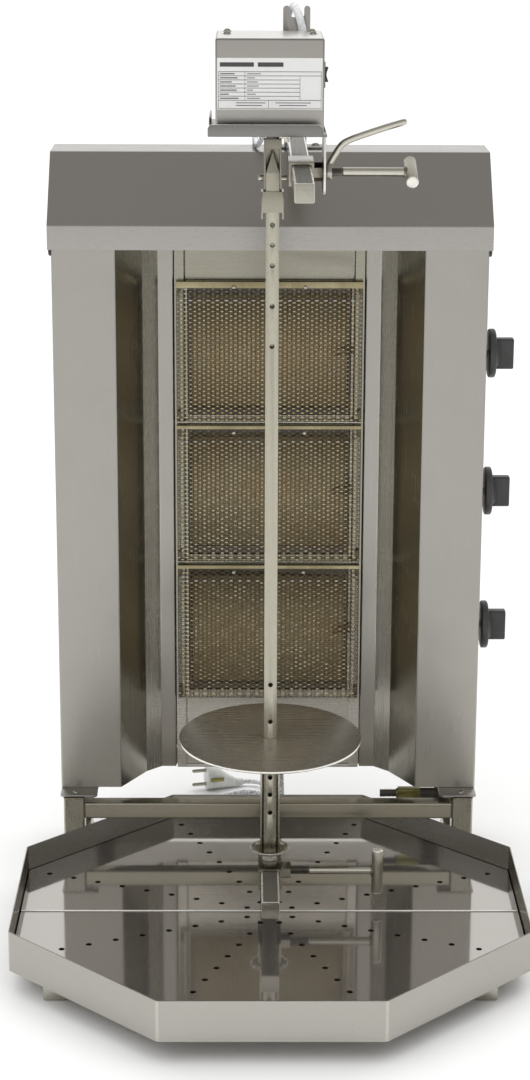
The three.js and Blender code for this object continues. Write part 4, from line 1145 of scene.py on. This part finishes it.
# clamp lever: hexagon boss with a bent rod welded to it
lev = [prism("lh", [(17 + 9 * math.cos(R(60 * k)), 873.5 + 9 * math.sin(R(60 * k))) for k in range(6)], "x", 55.2, 62, "zinc")]
bevel(lev[0], 0.7, 2, 25)
cut(lev[0], [lathe("lc", [(0, -3), (5.3, -3), (5.3, 12), (0, 12)], "x", (54, 17, 873.5), "zinc", 32)])
pts_, _ = smooth_points([(59.2, 17, 881.5), (62.3, 17, 887.3), (66, 17, 893.2), (69.6, 17, 898.8), (73.8, 17, 903.3), (80.5, 17, 906.9), (110, 17, 917.3), (139.2, 17, 926.2)], 40)
lev.append(tube("lr", pts_, [3.5] * 38 + [3.2, 2.4], "bright", 16))
lev.append(tube("lw", [(59.2 + 3.9 * math.cos(a), 17 + 3.9 * math.sin(a), 881.6) for a in [2 * math.pi * k / 16 for k in range(15)]], 0.9, "weld", 8))
place(joined("carriage_lever", lev), "clamp_lever")

# ---------------------------------------------------------------- drive socket, collar, pin
dress("drive_socket", "socket", 0.5, 2)
# the collar's rounded corners carry painted highlights
shine(dress("lock_collar", "collar", 0.6, 3), keep=lambda p: abs(p.normal.z) > 0.3)
dress("cross_pin", "bright", 0.3, 2)
ringp = [(13.4 + 2.2 * math.sin(a), 17, 867 + 2.2 * math.cos(a)) for a in [2 * math.pi * k / 20 for k in range(20)]]

# ---------------------------------------------------------------- spit and its holder
# the rounded corners of the lower sleeve and the bearing nut carry painted highlights
shine(dress("lower_sleeve", "sleeve", 1.25, 4), keep=lambda p: p.center.x < 0.0135)
shine(dress("bearing_nut", "bright", 0.8, 3))
HOLES = (157.7, 179.2, 199.8, 266, 309.2, 689.1, 732.2, 775.6, 797.5, 818.6)
sp = dress("spit", "spit", 0.6, 3)
# the walls of the spit's cross holes are painted dark: painted shade inside the holes
sp.data.materials.append(M["dark"])
for p in sp.data.polygons:
    cx, cy, cz = p.center.x * 1000, p.center.y * 1000 - DY - 17, p.center.z * 1000
    if abs(cy) < 6.3 and abs(p.normal.y) < 0.5 and any(math.hypot(cx, cz - h) < 3.0 for h in HOLES):
        p.material_index = 1
sp.data.materials.append(M["tip"])
for p in sp.data.polygons:
    if 0.1 < p.normal.z < 0.6 and p.center.z > 0.87:
        p.material_index = 2
hp = [(-10.8, 9.6), (-10.8, 25.8)] + [(10.8, 25.8), (10.8, 9.6), (8.8, 9.6), (8.8, 25.8), (-8.8, 25.8), (-8.8, 9.6)]
hp = corners(2.2, -10.8, 10.8, 5.0, 27.8)
ch = prism("channel", hp, "z", 109.0, 242.7, "spit")
cut(ch, [block("cc", -8.8, 8.8, 0, 25.8, 100, 250, "spit", 0.6, 2), block("cd", -14, 14, 0, 9.6, 100, 250, "spit", 0)])
bevel(ch, 0.3, 2, 50)
dish = lathe("drip_dish", [(0, 99.8), (5, 99.8), (5, 106.5), (9, 106.8), (13, 107.5), (17, 108.9), (20.2, 110.9), (22.1, 113.0), (22.3, 113.6), (22.0, 114.0),
                           (21.2, 113.7), (19.4, 111.9), (16.6, 110.3), (12.5, 109.4), (0, 109.3)], "z", (0, 17, 0), "bright", 72)
# the dish's outer lip carries a painted highlight
dish.data.materials.append(M["shine"])
for p in dish.data.polygons:
    if math.hypot(p.center.x, p.center.y - P(0, 17, 0).y) > 0.0211:
        p.material_index = 1
place(joined("spit_holder_channel", [ch, dish]), "spit_holder")
pl = lathe("meat_disc", [(9.9, -1.5), (100.6, -1.5), (101.3, -1.2), (101.5, -0.5), (101.5, 0.5), (101.3, 1.2), (100.6, 1.5), (9.9, 1.5)], "z", (0, -DY, 0), "disc", 128)
me = pl.data
bm = bmesh.new()
bm.from_mesh(me)
bm.verts.ensure_lookup_table()
# square hole for the bar: the inner ring is pulled onto the square
for v in bm.verts:
    x, y = v.co.x * 1000, v.co.y * 1000
    if math.hypot(x, y) < 12:
        k = 7.35 / max(abs(x), abs(y))
        v.co.x, v.co.y = x * k / 1000, y * k / 1000
inner = [v for v in bm.verts if max(abs(v.co.x * 1000), abs(v.co.y * 1000)) < 8]
lo_ring = sorted([v for v in inner if v.co.z < 0], key=lambda v: math.atan2(v.co.y, v.co.x))
hi_ring = sorted([v for v in inner if v.co.z > 0], key=lambda v: math.atan2(v.co.y, v.co.x))
for i in range(len(lo_ring)):
    j = (i + 1) % len(lo_ring)
    bm.faces.new([lo_ring[i], lo_ring[j], hi_ring[j], hi_ring[i]])
bm.to_mesh(me)
bm.free()
finish_mesh(me, 35)
# the disc's rounded rim takes the near-white steel: a painted highlight round its edge
me.materials.append(M["rim"])
for p in me.polygons:
    if math.hypot(p.center.x, p.center.y) > 0.1004:
        p.material_index = 1
me.transform(Matrix.Translation(P(0, 17, 244.9)) @ Matrix.Rotation(R(2), 4, "X"))
place(pl, "meat_plate")

# ---------------------------------------------------------------- drip tray
def round_octagon(af, r, seg=5):
    pts = octagon(af)
    out = []
    for i in range(8):
        a, b, c = Vector(pts[i - 1]), Vector(pts[i]), Vector(pts[(i + 1) % 8])
        arc = round_path([tuple(a), tuple(b), tuple(c)], r, seg)
        out += arc[1:-1]
    return out


tray = prism("tr", round_octagon(568, 4.5), "z", 25.5, 71.5, "tray", 25)
ins = prism("ti", round_octagon(565, 3.0), "z", 27.0, 80, "tray", 25)
cut(tray, [ins])
bevel(tray, 0.5, 3, 40)
tray.name = "tray_pan"
# the pan's inner floor is nearly black
tray.data.materials.append(M["grease"])
# the rounded outer corners take the paler steel: painted highlights down the corners
tray.data.materials.append(M["corner"])
for p in tray.data.polygons:
    if abs(p.center.z - 0.027) < 0.0006 and p.normal.z > 0.9:
        p.material_index = 1
    elif abs(p.normal.z) < 0.2:
        turn_ = (math.degrees(math.atan2(p.normal.y, p.normal.x)) + 360) % 45
        out_ = p.normal.x * p.center.x + p.normal.y * (p.center.y - DY / 1000) > 0
        if out_ and min(abs(turn_ - 22.5), 45) < 19:
            p.material_index = 2
place(tray, "drip_tray")


def perforated(name, s, cad):
    """Half plate with true round holes, its edges turned down."""
    octa = octagon(562)
    clip = []
    for i in range(8):
        a, b = octa[i], octa[(i + 1) % 8]
        ya, yb = a[1] * s - 1.8, b[1] * s - 1.8
        if ya >= 0:
            clip.append(a)
        if (ya >= 0) != (yb >= 0):
            t = ya / (ya - yb)
            clip.append((a[0] + (b[0] - a[0]) * t, a[1] + (b[1] - a[1]) * t))
    holes, pts, edges = [], [], []

    def loop(ring):
        base = len(pts)
        pts.extend(Vector(q) for q in ring)
        edges.extend((base + i, base + (i + 1) % len(ring)) for i in range(len(ring)))

    loop(clip)
    for row in range(8):
        a = R(22.5 + 45 * row)
        if (math.sin(a) > 0) != (s > 0):
            continue
        for k in range(9):
            r = 27.5 + 31.3 * k
            cx, cy = r * math.cos(a), r * math.sin(a) + (-4.5 if s < 0 else 0)
            holes.append(Vector((cx, cy)))
            loop([(cx + 3.5 * math.cos(2 * math.pi * j / 24), cy + 3.5 * math.sin(2 * math.pi * j / 24)) for j in range(24)])
    vs, _, fs, *_rest = delaunay_2d_cdt(pts, edges, [], 1, 1e-4)
    keep = []
    for f in fs:
        c = sum((vs[i] for i in f), Vector((0, 0))) / len(f)
        if all((c - h).length > 3.3 for h in holes):
            keep.append(f)
    n = len(vs)
    verts = [P(v.x, v.y, 41.0) for v in vs] + [P(v.x, v.y, 42.2) for v in vs]
    count = {}
    for f in keep:
        for i in range(len(f)):
            e = (f[i], f[(i + 1) % len(f)])
            count[e] = count.get(e, 0) + 1
    faces = [list(f)[::-1] for f in keep] + [[i + n for i in f] for f in keep]
    for (i, j) in count:
        if (j, i) not in count:
            faces.append([i, j, j + n, i + n])
    plate = make(name + "_p", verts, faces, "mirror", 30)
    flange = bent_sheet(name + "_f", [(s * 2.6, 42.2), (s * 2.0, 42.2 + (0.9 if s > 0 else 0)), (s * 0.12, 42.2 + (0.9 if s > 0 else 0)), (s * 0.12, 27.3)],
                        1.1 * s, "x", -280.6, 280.6, "mirror", 0.6, 5)
    # the rear plate's top fold at the seam is painted near white: a painted highlight along the joint
    flange.data.materials.append(M["edge"])
    for p_ in flange.data.polygons:
        if s > 0 and abs(p_.center.y * 1000 - DY) < 2.7 and p_.center.z > 0.0405:
            p_.material_index = 1
    oy = s * 277
    tabf = block(name + "_t", -110, 110, oy - 0.6, oy + 0.6, 27.3, 41.4, "mirror", 0.2, 1)
    return place(joined(name, [plate, flange, tabf]), cad)


perforated("perforated_plate_front", -1, "tray_plate_front")
perforated("perforated_plate_rear", 1, "tray_plate_rear")

# ---------------------------------------------------------------- studio
fl = bpy.data.meshes.new("floor")
fl.from_pydata([(-14, -14, -0.0005), (14, -14, -0.0005), (14, 14, -0.0005), (-14, 14, -0.0005)], [], [(0, 1, 2, 3)])
floor = bpy.data.objects.new("floor", fl)
scene.collection.objects.link(floor)
fl.materials.append(M["floor"])

world = bpy.data.worlds.new("studio")
scene.world = world
world.use_nodes = True
wn = world.node_tree
bg = wn.nodes["Background"]
tc = wn.nodes.new("ShaderNodeTexCoord")
sep = wn.nodes.new("ShaderNodeSeparateXYZ")
wn.links.new(tc.outputs["Generated"], sep.inputs["Vector"])


def wmath(op, a, b):
    m = wn.nodes.new("ShaderNodeMath")
    m.operation = op
    for i, v in enumerate((a, b)):
        if hasattr(v, "is_linked"):
            wn.links.new(v, m.inputs[i])
        else:
            m.inputs[i].default_value = v
    return m.outputs[0]


def wmix(fac, a, b):
    m = wn.nodes.new("ShaderNodeMix")
    m.data_type = "FLOAT"
    for s_, v in ((m.inputs[0], fac), (m.inputs[2], a), (m.inputs[3], b)):
        if hasattr(v, "is_linked"):
            wn.links.new(v, s_)
        else:
            s_.default_value = v
    return m.outputs[0]


# a bright wall behind, a dim ceiling, a lit wall in front and dimmer sides
turn = wmath("DIVIDE", wmath("ARCTAN2", sep.outputs["Z"], sep.outputs["Y"]), math.pi)
arc = wn.nodes.new("ShaderNodeValToRGB")
wn.links.new(turn, arc.inputs["Fac"])
arc.color_ramp.interpolation = "EASE"
stops = [(0.0, 0.78), (0.30, 0.66), (0.41, 0.29), (0.72, 0.27), (0.86, 0.60), (1.0, 0.60)]
els = arc.color_ramp.elements
while len(els) < len(stops):
    els.new(0.5)
for e, (pos, v) in zip(els, stops):
    e.position = pos
    e.color = (v, v, v, 1)
level = wmath("MULTIPLY", arc.outputs["Color"], 1.4)
side = wn.nodes.new("ShaderNodeMapRange")
side.interpolation_type = "SMOOTHSTEP"
for k_, v_ in zip(("From Min", "From Max", "To Min", "To Max"), (0.45, 0.85, 0.0, 1.0)):
    side.inputs[k_].default_value = v_
wn.links.new(wmath("ABSOLUTE", sep.outputs["X"], 0), side.inputs["Value"])
level = wmix(side.outputs["Result"], level, 0.34)
lp = wn.nodes.new("ShaderNodeLightPath")
wn.links.new(wmix(lp.outputs["Is Camera Ray"], level, 1.02), bg.inputs["Strength"])
bg.inputs["Color"].default_value = (1, 0.995, 0.985, 1)


def area(name, loc, target, size, power, glossy=False, color=(1, 1, 1)):
    ld = bpy.data.lights.new(name, "AREA")
    ld.shape = "RECTANGLE"
    ld.size, ld.size_y = size
    ld.energy = power
    ld.color = color
    ob = bpy.data.objects.new(name, ld)
    ob.location = loc
    ob.rotation_euler = (Vector(target) - Vector(loc)).to_track_quat("-Z", "Y").to_euler()
    ob.visible_glossy = glossy
    ob.visible_camera = False
    scene.collection.objects.link(ob)
    return ob


sun = bpy.data.lights.new("overhead", "SUN")
sun.energy = 2.35
sun.angle = R(100)
sun_ob = bpy.data.objects.new("overhead", sun)
sun_ob.visible_glossy = False
scene.collection.objects.link(sun_ob)
area("key_light", (-2.2, -2.6, 2.6), (0, 0.1, 0.5), (1.6, 1.6), 20)
scene.view_settings.view_transform = "Standard"
scene.view_settings.look = "None"
